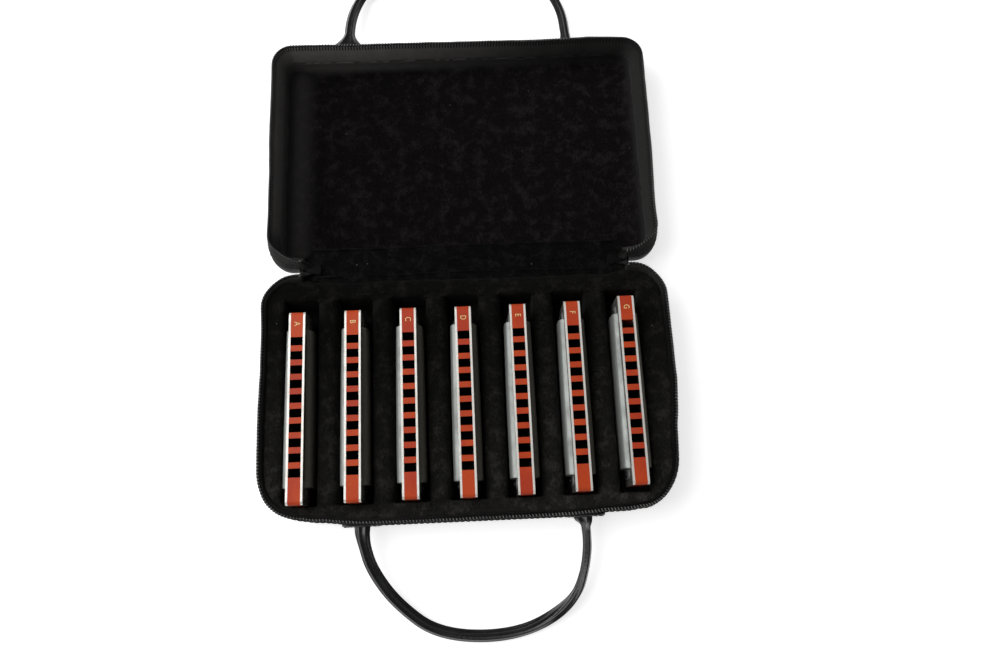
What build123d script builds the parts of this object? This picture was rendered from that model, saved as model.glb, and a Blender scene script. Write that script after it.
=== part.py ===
"""Zip-round harmonica case, opened flat, with seven ten-hole harmonicas.

The case is two moulded shells joined by a fabric spine.  A coil zip runs round
the other three sides of each shell, and each shell has a carrying handle on its
long outer side.  The base holds a padded tray with seven slots, and a harmonica
stands mouthpiece up in each slot.

Frame: +X along the spine, +Y from the base to the lid, +Z up.  The origin is on
the table under the middle of the spine.  Millimetres throughout.
"""

from build123d import *
from math import atan2, cos, hypot, radians, sin, tan
import os

# ---------------------------------------------------------------- a harmonica
hole_count = 10
hole_pitch = 7.6
hole_length = 4.5
comb_end_length = 13.8
comb_thickness = 6.4
comb_corner_radius = 2.0
chamber_depth = 21.0
harmonica_height = 27.0
plate_thickness = 1.1
reed_slot_width = 2.4
reed_slot_length = 14.0
reed_slot_depth = 12.5
reed_width = 2.0
reed_length = 15.0
reed_thickness = 0.25
reed_root = 0.8
cover_inset = 8.75
cover_bulge = 4.0
cover_sheet = 0.6
cover_lip = 4.4
cover_shoulder = 5.1
cover_back_gap = 1.5
cover_back_taper = 1.0
cover_edge_radius = 1.4
flange_length = 5.0
flange_height = 11.0
rivet_radius = 0.9
rivet_play = 0.1
rivet_head_radius = 1.6
rivet_head_height = 0.8
note_names = "ABCDEFG"

harmonica_length = (hole_count - 1) * hole_pitch + hole_length + 2 * comb_end_length
harmonica_thickness = comb_thickness + 2 * (plate_thickness + cover_bulge)
cover_length = harmonica_length - 2 * cover_inset

# ---------------------------------------------------------------- the tray
slot_side_play = 0.5
slot_end_room = 8.5
slot_front_room = 1.3
stand_back = (0.0, 0.1, 0.3, 0.0, 0.2, 0.6, 2.6)
divider_width = 11.6
left_border = 11.1
right_border = 15.1
front_margin = 11.0
back_margin = 20.5
tray_floor_thickness = 2.0
tray_rise = 4.0
divider_rise = 5.0
divider_top_radius = 4.5

slot_count = len(note_names)
slot_width = harmonica_thickness + 2 * slot_side_play
slot_pitch = slot_width + divider_width
tray_width = slot_count * slot_pitch - divider_width
tray_shift = (left_border - right_border) / 2

# ---------------------------------------------------------------- the shells
corner_radius = 18.0
seam_height = 18.0
bottom_radius = 9.0
shell_wall = 3.0
lining_thickness = 1.5

case_width = tray_width + left_border + right_border
half_depth = harmonica_length + front_margin + back_margin
half_width = case_width / 2

# ---------------------------------------------------------------- the spine
spine_width = 14.0
spine_end_room = 13.5
spine_cover_thickness = 1.0
spine_lining_thickness = 1.0
fold_gap = 0.3

spine_length = case_width - 2 * (corner_radius + spine_end_room)
hinge_y = spine_width / 2
front_y = hinge_y + half_depth
half_centre_y = hinge_y + half_depth / 2

# ---------------------------------------------------------------- the zip
tape_thickness = 1.0
tape_seat_gap = 0.4
coil_width = 1.9
coil_height = 0.85
coil_inset = 0.4
closing_gap = 0.3
slider_space = 11.0
chain_edge_gap = 1.0
chain_thickness = 1.0
chain_start_gap = 1.5
slider_length = 8.5
slider_width = 8.4
slider_plate = 1.1
slider_play = 0.1
slider_neck = 1.1
slider_neck_width = 2.8
pull_width = 5.0
pull_thickness = 1.2
pull_pin_radius = 0.5
pull_pin_play = 0.1
pull_eye_radius = 1.1
pull_lug_length = 1.8
pull_lug_width = 2.0
pull_drop = 2.3
pull_side_gap = 0.3
pull_floor_gap = 2.0

chain_width = spine_width - 2 * chain_edge_gap
tape_height = spine_width / 2 - coil_height - closing_gap / 2
tape_foot = shell_wall - tape_seat_gap
zip_start_x = spine_length / 2 + slider_space

# ---------------------------------------------------------------- the handles
handle_width = 6.4
handle_thickness = 4.2
handle_section_radius = 2.0
handle_corner_share = 0.45
handle_reach = 61.0
handle_root_drop = 4.0
handle_floor_gap = 0.3
handle_tab_gap = 0.3
handle_tab_width = 20.0
handle_tab_height = 12.0
handle_tab_thickness = 1.2
base_handle_half_span = 58.5
lid_handle_half_span = 66.3
lid_handle_middle_x = 0.35

handle_root_height = seam_height - handle_root_drop
handle_axis_y = front_y + handle_tab_thickness + handle_tab_gap + handle_thickness / 2
handle_fall = handle_root_height - handle_floor_gap - handle_thickness / 2
handle_flat_reach = front_y + handle_reach - handle_axis_y - handle_thickness / 2
handle_drop = atan2(handle_fall, handle_flat_reach)
handle_run = hypot(handle_fall, handle_flat_reach) - (handle_width - handle_thickness) / 2

# ---------------------------------------------------------------- places
slot_floor = shell_wall + tray_floor_thickness
harmonica_y = front_margin + harmonica_length / 2 - front_y
harmonica_z = slot_floor + harmonica_height / 2
slot_back_y = harmonica_y + harmonica_length / 2 + slot_end_room
slot_front_y = harmonica_y - harmonica_length / 2 - slot_front_room
slot_length = slot_back_y - slot_front_y
slot_centre_y = (slot_back_y + slot_front_y) / 2
tray_top = seam_height + tray_rise
divider_top = seam_height + divider_rise

os.makedirs("parts", exist_ok=True)


def save(part, name):
    """Label a finished sub-part and write it to its own file."""
    part.label = name
    export_step(part, f"parts/{name}.step")


def lid_copy(part):
    """The lid's twin of a base piece: the same piece on the other side of the spine."""
    return mirror(part, about=Plane.XZ)


# ================================================================ shells
def moulded_block(inset, floor, top):
    """A solid bounded by a surface that lies at a given inset inside the base's outside."""
    with BuildPart() as block:
        with BuildSketch(Plane.XY.offset(floor)):
            with Locations((0, -half_centre_y)):
                RectangleRounded(case_width - 2 * inset, half_depth - 2 * inset, corner_radius - inset)
        extrude(amount=top - floor)
        fillet(block.faces().sort_by(Axis.Z)[0].edges(), bottom_radius - inset)
    return block.part


with BuildPart() as base_shell:
    add(moulded_block(0, 0, seam_height))
    add(moulded_block(shell_wall, shell_wall, tray_top), mode=Mode.SUBTRACT)

lid_shell = lid_copy(base_shell.part)

# ================================================================ lid lining
lining_inset = shell_wall + lining_thickness

with BuildPart() as lining:
    add(moulded_block(shell_wall, shell_wall, seam_height))
    add(moulded_block(lining_inset, lining_inset, tray_top), mode=Mode.SUBTRACT)

lid_lining = lid_copy(lining.part)

# ================================================================ tray
with BuildPart() as base_tray_floor:
    add(moulded_block(shell_wall, shell_wall, tray_top))
    split(bisect_by=Plane.XY.offset(slot_floor), keep=Keep.BOTTOM)

with BuildPart() as base_tray_border:
    add(moulded_block(shell_wall, shell_wall, tray_top))
    split(bisect_by=Plane.XY.offset(slot_floor), keep=Keep.TOP)
    with BuildSketch(Plane.XY.offset(slot_floor)):
        with Locations((tray_shift, slot_centre_y)):
            Rectangle(tray_width, slot_length)
    extrude(amount=tray_top - slot_floor, mode=Mode.SUBTRACT)

with BuildPart() as base_tray_dividers:
    with BuildSketch(Plane.XY.offset(slot_floor)):
        with Locations((tray_shift, slot_centre_y)):
            with GridLocations(slot_pitch, 0, slot_count - 1, 1):
                Rectangle(divider_width, slot_length)
    extrude(amount=divider_top - slot_floor)
    divider_ridges = (
        base_tray_dividers.edges().filter_by(Axis.Y).filter_by_position(Axis.Z, divider_top, divider_top)
    )
    fillet(divider_ridges, divider_top_radius)

# ================================================================ zip
with BuildLine() as zip_path:
    FilletPolyline(
        (-zip_start_x, -hinge_y, seam_height),
        (-half_width, -hinge_y, seam_height),
        (-half_width, -front_y, seam_height),
        (half_width, -front_y, seam_height),
        (half_width, -hinge_y, seam_height),
        (zip_start_x, -hinge_y, seam_height),
        radius=corner_radius,
    )

zip_section = Plane(origin=(-zip_start_x, -hinge_y, seam_height), x_dir=(0, -1, 0), z_dir=(-1, 0, 0))

with BuildPart() as base_zip_tape:
    with BuildSketch(zip_section):
        with BuildLine():
            Polyline(
                (tape_foot - tape_thickness, 0),
                (tape_foot, 0),
                (coil_inset + tape_thickness, tape_height),
                (coil_inset, tape_height),
                close=True,
            )
        make_face()
    sweep(path=zip_path.line)

with BuildPart() as base_zip_coil:
    with BuildSketch(zip_section):
        with Locations((coil_inset + coil_width / 2, tape_height + coil_height / 2)):
            Rectangle(coil_width, coil_height)
    sweep(path=zip_path.line)

lid_zip_tape = lid_copy(base_zip_tape.part)
lid_zip_coil = lid_copy(base_zip_coil.part)

# ================================================================ spine
with BuildPart() as spine_cover:
    with BuildSketch(Plane.XY.offset(seam_height - spine_cover_thickness)):
        Rectangle(spine_length, spine_width - 2 * fold_gap)
    extrude(amount=spine_cover_thickness)

with BuildPart() as spine_lining:
    with BuildSketch(Plane.XY.offset(seam_height)):
        Rectangle(spine_length, spine_width - 2 * fold_gap)
    extrude(amount=spine_lining_thickness)

# ================================================================ zip ends
# At each end of the spine a short piece of closed zip carries a slider.  Its pull
# hangs from a pin under the slider, on the outside of the closed case.
slider_start_x = spine_length / 2 + chain_start_gap
slider_end_x = slider_start_x + slider_length
slider_mid_x = (slider_start_x + slider_end_x) / 2
chain_end_x = slider_end_x - slider_neck - slider_play
slider_slot = chain_thickness + 2 * slider_play
slider_bottom = seam_height - slider_slot / 2 - slider_plate
pull_pin_z = slider_bottom - pull_drop
pull_length = pull_pin_z - pull_floor_gap

with BuildPart() as zip_chain_ends:
    for end in (-1, 1):
        with BuildSketch(Plane.XY.offset(seam_height - chain_thickness / 2)):
            with Locations((end * (spine_length / 2 + chain_end_x) / 2, 0)):
                Rectangle(chain_end_x - spine_length / 2, chain_width)
        extrude(amount=chain_thickness)

with BuildPart() as zip_sliders:
    for end in (-1, 1):
        with BuildSketch(Plane.XY.offset(slider_bottom)):
            with Locations((end * slider_mid_x, 0)):
                RectangleRounded(slider_length, slider_width, slider_width / 4)
        extrude(amount=slider_slot + 2 * slider_plate)
        with BuildSketch(Plane.XY.offset(slider_bottom + slider_plate)):
            with Locations((end * slider_mid_x, 0)):
                Rectangle(slider_length, slider_width)
            with Locations((end * (slider_end_x - slider_neck / 2), 0)):
                Rectangle(slider_neck, slider_neck_width, mode=Mode.SUBTRACT)
        extrude(amount=slider_slot, mode=Mode.SUBTRACT)
        with BuildSketch(Plane.XY.offset(pull_pin_z - pull_pin_radius - pull_pin_play)):
            with Locations((end * slider_mid_x, 0)):
                Rectangle(pull_lug_length, pull_lug_width)
        extrude(amount=slider_bottom - pull_pin_z + pull_pin_radius + pull_pin_play)
        with BuildSketch(Plane((end * slider_mid_x, 0, pull_pin_z), z_dir=(0, 1, 0))):
            Circle(pull_pin_radius)
        extrude(amount=pull_width / 2, both=True)


def make_pull(end):
    """One pull: a flat tab with a fork that swings on the slider's pin."""
    fork_room = pull_lug_width + 2 * pull_side_gap
    fork_depth = pull_eye_radius + pull_side_gap + pull_lug_length / 2
    with BuildPart() as pull:
        with BuildSketch(Plane((end * slider_mid_x, 0, pull_pin_z), x_dir=(0, 1, 0), z_dir=(1, 0, 0))):
            with Locations((0, -pull_length / 2)):
                Rectangle(pull_width, pull_length)
        extrude(amount=pull_thickness / 2, both=True)
        fillet(pull.edges().filter_by(Axis.X).group_by(Axis.Z)[0], pull_width / 3)
        with BuildSketch(Plane((end * slider_mid_x, 0, pull_pin_z), z_dir=(0, 1, 0))):
            Circle(pull_eye_radius)
        extrude(amount=pull_width / 2, both=True)
        with BuildSketch(Plane((end * slider_mid_x, 0, pull_pin_z), z_dir=(0, 1, 0))):
            Rectangle(4 * fork_depth, 2 * fork_depth)
        extrude(amount=fork_room / 2, both=True, mode=Mode.SUBTRACT)
        with BuildSketch(Plane((end * slider_mid_x, 0, pull_pin_z), z_dir=(0, 1, 0))):
            Circle(pull_pin_radius + pull_pin_play)
        extrude(amount=pull_width, both=True, mode=Mode.SUBTRACT)
    return pull.part


# ================================================================ handles
def rounded_radii(points):
    """The largest smooth radius at each corner of a handle's outline."""
    radii = []
    for before, here, after in zip(points, points[1:], points[2:]):
        incoming = Vector(*here) - Vector(*before)
        outgoing = Vector(*after) - Vector(*here)
        turn = radians(incoming.get_angle(outgoing))
        shorter = min(incoming.length, outgoing.length)
        radii.append(handle_corner_share * shorter / tan(turn / 2))
    return radii


def make_handle(outline):
    """A strap loop that lies outward from the base's front, its far end near the table."""
    lie = Plane(
        origin=(0, -handle_axis_y, handle_root_height),
        x_dir=(1, 0, 0),
        z_dir=(0, sin(handle_drop), -cos(handle_drop)),
    )
    root = lie.from_local_coords(Vector(*outline[0]))
    with BuildPart() as handle:
        with BuildLine(lie) as loop:
            FilletPolyline(*outline, radius=rounded_radii(outline))
        with BuildSketch(Plane(origin=root, x_dir=(1, 0, 0), z_dir=loop.line % 0)):
            RectangleRounded(handle_width, handle_thickness, handle_section_radius)
        sweep(path=loop.line)
        for end in (outline[0], outline[-1]):
            barrel_centre = lie.from_local_coords(Vector(*end))
            with BuildSketch(Plane(origin=barrel_centre, z_dir=(1, 0, 0))):
                Circle(handle_thickness / 2)
            extrude(amount=handle_width / 2, both=True)
    return handle.part


def make_handle_tabs(outline):
    """The two sewn-on tabs that carry a handle, flat on the base's front wall."""
    with BuildPart() as tabs:
        with BuildSketch(Plane.XZ.offset(front_y)):
            with Locations(*((end[0], handle_root_height) for end in (outline[0], outline[-1]))):
                with Locations((0, handle_root_drop - handle_tab_height / 2)):
                    Rectangle(handle_tab_width, handle_tab_height)
        extrude(amount=handle_tab_thickness)
    return tabs.part


base_outline = [
    (-base_handle_half_span, 0),
    (-base_handle_half_span, 0.14 * handle_run),
    (-0.755 * base_handle_half_span, 0.72 * handle_run),
    (-0.325 * base_handle_half_span, handle_run),
    (0.36 * base_handle_half_span, handle_run),
    (0.80 * base_handle_half_span, 0.77 * handle_run),
    (base_handle_half_span, 0.30 * handle_run),
    (base_handle_half_span, 0),
]
lid_outline = [
    (lid_handle_middle_x - lid_handle_half_span, 0),
    (lid_handle_middle_x - 0.985 * lid_handle_half_span, 0.55 * handle_run),
    (lid_handle_middle_x - 0.8 * lid_handle_half_span, handle_run),
    (lid_handle_middle_x + 0.8 * lid_handle_half_span, handle_run),
    (lid_handle_middle_x + 0.985 * lid_handle_half_span, 0.55 * handle_run),
    (lid_handle_middle_x + lid_handle_half_span, 0),
]


# ================================================================ harmonicas
def side_plane(seat, across=0):
    """The plane of a harmonica's side, so far across from its middle: its x is +Y and its y is +Z."""
    return Plane(origin=seat + Vector(across, 0, 0), x_dir=(0, 1, 0), z_dir=(1, 0, 0))


top_edge = harmonica_height / 2
rivet_y = cover_length / 2 + flange_length / 2
rivet_half_length = comb_thickness / 2 + plate_thickness + cover_sheet


def rivet_holes(seat):
    """The outlines of both rivet holes, on a harmonica's middle plane."""
    with BuildSketch(side_plane(seat)) as holes:
        with Locations((-rivet_y, 0), (rivet_y, 0)):
            Circle(rivet_radius + rivet_play)
    return holes.sketch


def make_comb(seat):
    """The comb: ten open chambers with walls between, and solid ends."""
    with BuildPart() as comb:
        with BuildSketch(side_plane(seat)):
            RectangleRounded(harmonica_length, harmonica_height, comb_corner_radius)
            with Locations((0, top_edge)):
                with GridLocations(hole_pitch, 0, hole_count, 1):
                    Rectangle(hole_length, 2 * chamber_depth, mode=Mode.SUBTRACT)
        extrude(amount=comb_thickness / 2, both=True)
        extrude(rivet_holes(seat), amount=comb_thickness, both=True, mode=Mode.SUBTRACT)
    return comb.part


def make_reed_plates(seat):
    """Two plates against the comb, each with ten reed slots."""
    with BuildPart() as plates:
        for side in (-1, 1):
            with BuildSketch(side_plane(seat, side * comb_thickness / 2)):
                RectangleRounded(harmonica_length, harmonica_height, comb_corner_radius)
                with Locations((0, top_edge - reed_slot_depth)):
                    with GridLocations(hole_pitch, 0, hole_count, 1):
                        Rectangle(reed_slot_width, reed_slot_length, mode=Mode.SUBTRACT)
            extrude(amount=side * plate_thickness)
        extrude(rivet_holes(seat), amount=comb_thickness, both=True, mode=Mode.SUBTRACT)
    return plates.part


def make_reeds(seat):
    """Ten reeds inside the chambers and ten on the outside of the other plate."""
    reed_faces = (-comb_thickness / 2, comb_thickness / 2 + plate_thickness)
    with BuildPart() as reeds:
        for face in reed_faces:
            with BuildSketch(side_plane(seat, face)):
                with Locations((0, top_edge - reed_slot_depth - reed_root)):
                    with GridLocations(hole_pitch, 0, hole_count, 1):
                        Rectangle(reed_width, reed_length)
            extrude(amount=reed_thickness)
    return reeds.part


def make_cover(seat, side):
    """One pressed cover: a hollow shoulder that is open at the back, with end flanges."""
    face = side * (comb_thickness / 2 + plate_thickness)
    back = cover_back_gap - top_edge
    with BuildPart() as cover:
        with BuildSketch(Plane(origin=seat + Vector(face, 0, 0), x_dir=(1, 0, 0), z_dir=(0, -1, 0))):
            with BuildLine():
                Polyline(
                    (0, top_edge - cover_lip),
                    (side * cover_bulge, top_edge - cover_lip - cover_shoulder),
                    (side * cover_bulge, back + cover_shoulder),
                    (side * (cover_bulge - cover_back_taper), back),
                    (0, back),
                    close=True,
                )
            make_face()
        extrude(amount=cover_length / 2, both=True)
        fillet(cover.edges().filter_by(Axis.Y).sort_by(Axis.X)[-1 if side > 0 else 0], cover_edge_radius)
        plate_face = cover.faces().filter_by(Axis.X).sort_by(Axis.X)[0 if side > 0 else -1]
        back_face = cover.faces().sort_by(Axis.Z)[0]
        offset(amount=-cover_sheet, openings=[plate_face, back_face])
        with BuildSketch(side_plane(seat, face)):
            with Locations((-rivet_y, 0), (rivet_y, 0)):
                Rectangle(flange_length, flange_height)
        extrude(amount=side * cover_sheet)
        extrude(rivet_holes(seat), amount=comb_thickness + cover_bulge, both=True, mode=Mode.SUBTRACT)
    return cover.part


def make_rivets(seat):
    """Two rivets that clamp the covers and plates to the comb."""
    with BuildPart() as rivets:
        with BuildSketch(side_plane(seat)):
            with Locations((-rivet_y, 0), (rivet_y, 0)):
                Circle(rivet_radius)
        extrude(amount=rivet_half_length, both=True)
        for side in (-1, 1):
            with BuildSketch(side_plane(seat, side * rivet_half_length)):
                with Locations((-rivet_y, 0), (rivet_y, 0)):
                    Circle(rivet_head_radius)
            extrude(amount=side * rivet_head_height)
    return rivets.part


# ================================================================ files
save(base_shell.part, "base_shell")
save(base_tray_floor.part, "base_tray_floor")
save(base_tray_border.part, "base_tray_border")
save(base_tray_dividers.part, "base_tray_dividers")
save(base_zip_tape.part, "base_zip_tape")
save(base_zip_coil.part, "base_zip_coil")
save(make_handle_tabs(base_outline), "base_handle_tabs")
save(make_handle(base_outline), "base_handle")
save(lid_shell, "lid_shell")
save(lid_lining, "lid_lining")
save(lid_zip_tape, "lid_zip_tape")
save(lid_zip_coil, "lid_zip_coil")
save(lid_copy(make_handle_tabs(lid_outline)), "lid_handle_tabs")
save(lid_copy(make_handle(lid_outline)), "lid_handle")
save(spine_cover.part, "spine_cover")
save(spine_lining.part, "spine_lining")
save(zip_chain_ends.part, "zip_chain_ends")
save(zip_sliders.part, "zip_sliders")
save(make_pull(-1), "left_zip_pull")
save(make_pull(1), "right_zip_pull")

for number, (note, back_step) in enumerate(zip(note_names, stand_back)):
    slot_x = tray_shift + (number - (slot_count - 1) / 2) * slot_pitch
    seat = Vector(slot_x, harmonica_y + back_step, harmonica_z)
    save(make_comb(seat), f"comb_{note}")
    save(make_reed_plates(seat), f"reed_plates_{note}")
    save(make_reeds(seat), f"reeds_{note}")
    with BuildPart() as covers:
        add(make_cover(seat, -1))
        add(make_cover(seat, 1))
    save(covers.part, f"covers_{note}")
    save(make_rivets(seat), f"rivets_{note}")
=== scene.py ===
"""Looks of a zip-round harmonica case that lies open and flat.

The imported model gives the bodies, the joints and the sizes that every piece here keeps to.  Each
class below builds and dresses one sub-assembly: the two moulded shells with their zip, the velvet
tray and lid lining, the fabric spine, the zip sliders, the strap handles and the harmonicas.

Lengths are in millimetres while a shape is worked out, and metres once a mesh is written.
"""

import sys
import itertools
import logging
import math
from dataclasses import dataclass
from enum import Enum
from typing import Callable, Optional, Sequence

import bmesh
import bpy
import numpy as np
from mathutils import Matrix, Vector
from numpy.typing import ArrayLike, NDArray


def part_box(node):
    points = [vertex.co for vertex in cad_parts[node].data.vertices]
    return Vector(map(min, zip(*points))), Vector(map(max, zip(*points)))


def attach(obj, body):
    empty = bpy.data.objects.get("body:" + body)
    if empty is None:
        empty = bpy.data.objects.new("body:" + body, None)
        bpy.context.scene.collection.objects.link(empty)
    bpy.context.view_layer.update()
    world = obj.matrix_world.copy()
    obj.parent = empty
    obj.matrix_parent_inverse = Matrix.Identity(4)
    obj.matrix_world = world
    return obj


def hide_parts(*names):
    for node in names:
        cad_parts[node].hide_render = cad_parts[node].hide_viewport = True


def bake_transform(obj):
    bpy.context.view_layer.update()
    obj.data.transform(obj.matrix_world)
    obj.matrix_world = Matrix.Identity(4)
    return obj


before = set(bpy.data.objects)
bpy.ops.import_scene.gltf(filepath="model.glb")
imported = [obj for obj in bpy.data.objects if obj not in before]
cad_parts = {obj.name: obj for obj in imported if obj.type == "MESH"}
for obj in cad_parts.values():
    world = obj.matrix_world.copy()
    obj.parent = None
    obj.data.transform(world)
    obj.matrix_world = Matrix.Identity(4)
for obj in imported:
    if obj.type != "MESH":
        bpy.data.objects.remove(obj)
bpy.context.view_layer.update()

Array = NDArray[np.float64]
Faces = NDArray[np.int64]
Solid = tuple[Array, Faces]
MappedSolid = tuple[Array, Faces, Array]
Colour = tuple[float, float, float]
Spot = tuple[float, float, float]
Pairs = tuple[tuple[float, float], ...]
Piece = bpy.types.Object
Socket = bpy.types.NodeSocket

MM = 0.001
NOTES = "ABCDEFG"
SLOT_PITCH = 29.2
MIDDLE_SLOT_X = -2.0
COIL_PITCH = 1.69
SIDES = (-1, 1)
RIGHTWARD, LIDWARD, UPWARD = (1.0, 0.0, 0.0), (0.0, 1.0, 0.0), (0.0, 0.0, 1.0)
log = logging.getLogger("harmonica_case")


# ======== numbers and noise
def ease(t: Array) -> Array:
    """The smooth step 3t^2 - 2t^3, with t held between 0 and 1."""
    t = np.clip(t, 0.0, 1.0)
    return t * t * (3.0 - 2.0 * t)


def root(values: Array, least: float = 0.0) -> Array:
    """The square root of values held between the least one and 1."""
    return np.sqrt(np.clip(values, least, 1.0))


def power(values: Array, exponent: float) -> Array:
    """Each value's size raised to an exponent, with its sign kept."""
    return np.sign(values) * np.abs(values) ** exponent


def unit(vectors: Array) -> Array:
    """Each vector on the last axis at length 1."""
    return vectors / np.maximum(np.linalg.norm(vectors, axis=-1, keepdims=True), 1e-12)


def xyz(x: ArrayLike, y: ArrayLike, z: ArrayLike) -> Array:
    """Points on the last axis from three coordinates, each of them an array or one number."""
    return np.stack(np.broadcast_arrays(x, y, z), axis=-1)


def lattice_values(cells: Array, seed: int) -> Array:
    """A fixed random value from -1 to 1 for each cell of a cubic lattice.

    Args:
        cells: whole cell numbers, three on the last axis.
        seed: picks the lattice.

    Returns:
        One value per cell, hashed from its three numbers.
    """
    key = cells[..., 0] * 73856093 ^ cells[..., 1] * 19349663 ^ cells[..., 2] * 83492791
    key = (key ^ (seed * 2654435761)) & 0xFFFFFFFF
    key = ((key ^ (key >> 15)) * 2246822519) & 0xFFFFFFFF
    key = ((key ^ (key >> 13)) * 3266489917) & 0xFFFFFFFF
    return ((key ^ (key >> 16)) & 0xFFFF) / 32767.5 - 1.0


def noise(points: Array, cell: float, seed: int) -> Array:
    """Smooth noise from -1 to 1: lattice values blended with the smooth step along each axis.

    Args:
        points: places.
        cell: the size of a lattice cell.
        seed: picks the lattice.

    Returns:
        One value per point.
    """
    scaled = points / cell
    low = np.floor(scaled)
    part = ease(scaled - low)
    low = low.astype(np.int64)
    total = np.zeros(points.shape[:-1])
    for corner in itertools.product((0, 1), repeat=3):
        share = np.where(np.array(corner) == 1, part, 1.0 - part).prod(axis=-1)
        total += share * lattice_values(low + np.array(corner), seed)
    return total


def clouds(points: Array, seed: int, *layers: tuple[float, float]) -> Array:
    """The sum of layers of noise, each with a size, a cell and a lattice of its own."""
    return sum(size * noise(points, cell, seed + number) for number, (size, cell) in enumerate(layers))


def line_noise(values: Array, cell: float, seed: int) -> Array:
    """Smooth noise from -1 to 1 along one line."""
    return noise(xyz(values, 0.0, 0.0), cell, seed)


# ======== lines
def travelled(line: Array) -> Array:
    """The distance gone along a line at each of its points."""
    return np.concatenate([[0.0], np.cumsum(np.linalg.norm(np.diff(line, axis=0), axis=1))])


def read(wanted: Array, gone: Array, values: Array) -> Array:
    """Rows of values that are given at some distances, read at other ones."""
    return np.stack([np.interp(wanted, gone, column) for column in values.T], axis=-1)


def resample(line: Array, count: int) -> Array:
    """So many points at even distances along a line."""
    gone = travelled(line)
    return read(np.linspace(0.0, gone[-1], count), gone, line)


def even_steps(line: Array, step: float) -> Array:
    """The line's points moved to even distances along it, about one step apart."""
    return resample(line, max(2, round(travelled(line)[-1] / step) + 1))


def directions(line: Array) -> Array:
    """The unit direction of travel at each point of a line."""
    return unit(np.gradient(line, axis=0))


def cut_corners(points: Array, rounds: int) -> Array:
    """The smooth curve of a control polygon: each round cuts every corner a quarter of the way."""
    for _ in range(rounds):
        pairs = [share * points[:-1] + (1.0 - share) * points[1:] for share in (0.75, 0.25)]
        inner = np.stack(pairs, axis=1).reshape(-1, points.shape[1])
        points = np.concatenate([points[:1], inner, points[-1:]])
    return points


def oval(width: float, height: float, count: int, squareness: float = 2.0) -> Array:
    """Points round an ellipse whose cosines and sines are raised to 2 / squareness, which rounds a box."""
    turn = np.arange(count) * 2 * np.pi / count
    across, above = power(np.cos(turn), 2 / squareness), power(np.sin(turn), 2 / squareness)
    return np.stack([width / 2 * across, height / 2 * above], axis=-1)


def sized(section: Array, width: ArrayLike, height: ArrayLike) -> Array:
    """One section for each point of a line, scaled by its own width and height there."""
    return section[None] * np.stack(np.broadcast_arrays(width, height), axis=-1)[:, None]


def rounded_rectangle(
    half_x: float, half_y: float, radii: float | Sequence[float], steps: int = 14
) -> tuple[Array, Array]:
    """Points and outward directions round a rounded rectangle about the origin, anticlockwise.

    Args:
        half_x: half its width.
        half_y: half its depth.
        radii: its corner radius, or one for each of (+x, -y), (+x, +y), (-x, +y) and (-x, -y).
        steps: points along each corner; a side has four times as many.

    Returns:
        The points and the directions, two coordinates each.
    """
    radius = np.broadcast_to(np.asarray(radii, dtype=float), (4,))
    centres = (np.array([half_x, half_y]) - radius[:, None]) * [(1, -1), (1, 1), (-1, 1), (-1, -1)]
    turns, middles, lengths = [], [], []
    for start in range(4):
        along = (np.arange(4 * steps) / (4 * steps))[:, None]
        stop = (start + 1) % 4
        middles.append(centres[start] + along * (centres[stop] - centres[start]))
        lengths.append(radius[start] + along[:, 0] * (radius[stop] - radius[start]))
        turns.append(np.full(4 * steps, start * np.pi / 2))
        middles.append(np.broadcast_to(centres[stop], (steps, 2)))
        lengths.append(np.full(steps, radius[stop]))
        turns.append((start + np.arange(steps) / steps) * np.pi / 2)
    turn = np.concatenate(turns)
    outward = np.stack([np.cos(turn), np.sin(turn)], axis=-1)
    return np.concatenate(middles) + np.concatenate(lengths)[:, None] * outward, outward


# ======== meshes
def quads(rows: int, columns: int, wrap_rows: bool = False, wrap_columns: bool = False) -> Faces:
    """The four-sided faces of a grid of points numbered row by row.

    Args:
        rows: how many rows.
        columns: how many points in a row.
        wrap_rows: join the last row to the first.
        wrap_columns: join each row's last point to its first.

    Returns:
        Point numbers, four to a face.
    """
    row = np.arange(rows if wrap_rows else rows - 1)[:, None]
    column = np.arange(columns if wrap_columns else columns - 1)[None, :]
    below, beside = (row + 1) % rows * columns, (column + 1) % columns
    corners = (row * columns + column, row * columns + beside, below + beside, below + column)
    return np.stack(corners, axis=-1).reshape(-1, 4)


def ringed(rings: Array, wrap_rows: bool = False) -> Solid:
    """The surface through closed rings of points, which may also join its last ring to its first."""
    return rings.reshape(-1, 3), quads(*rings.shape[:2], wrap_rows=wrap_rows, wrap_columns=True)


def add_object(name: str, data: bpy.types.ID) -> Piece:
    """A new object in the scene, with that data."""
    made = bpy.data.objects.new(name, data)
    bpy.context.scene.collection.objects.link(made)
    return made


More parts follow.
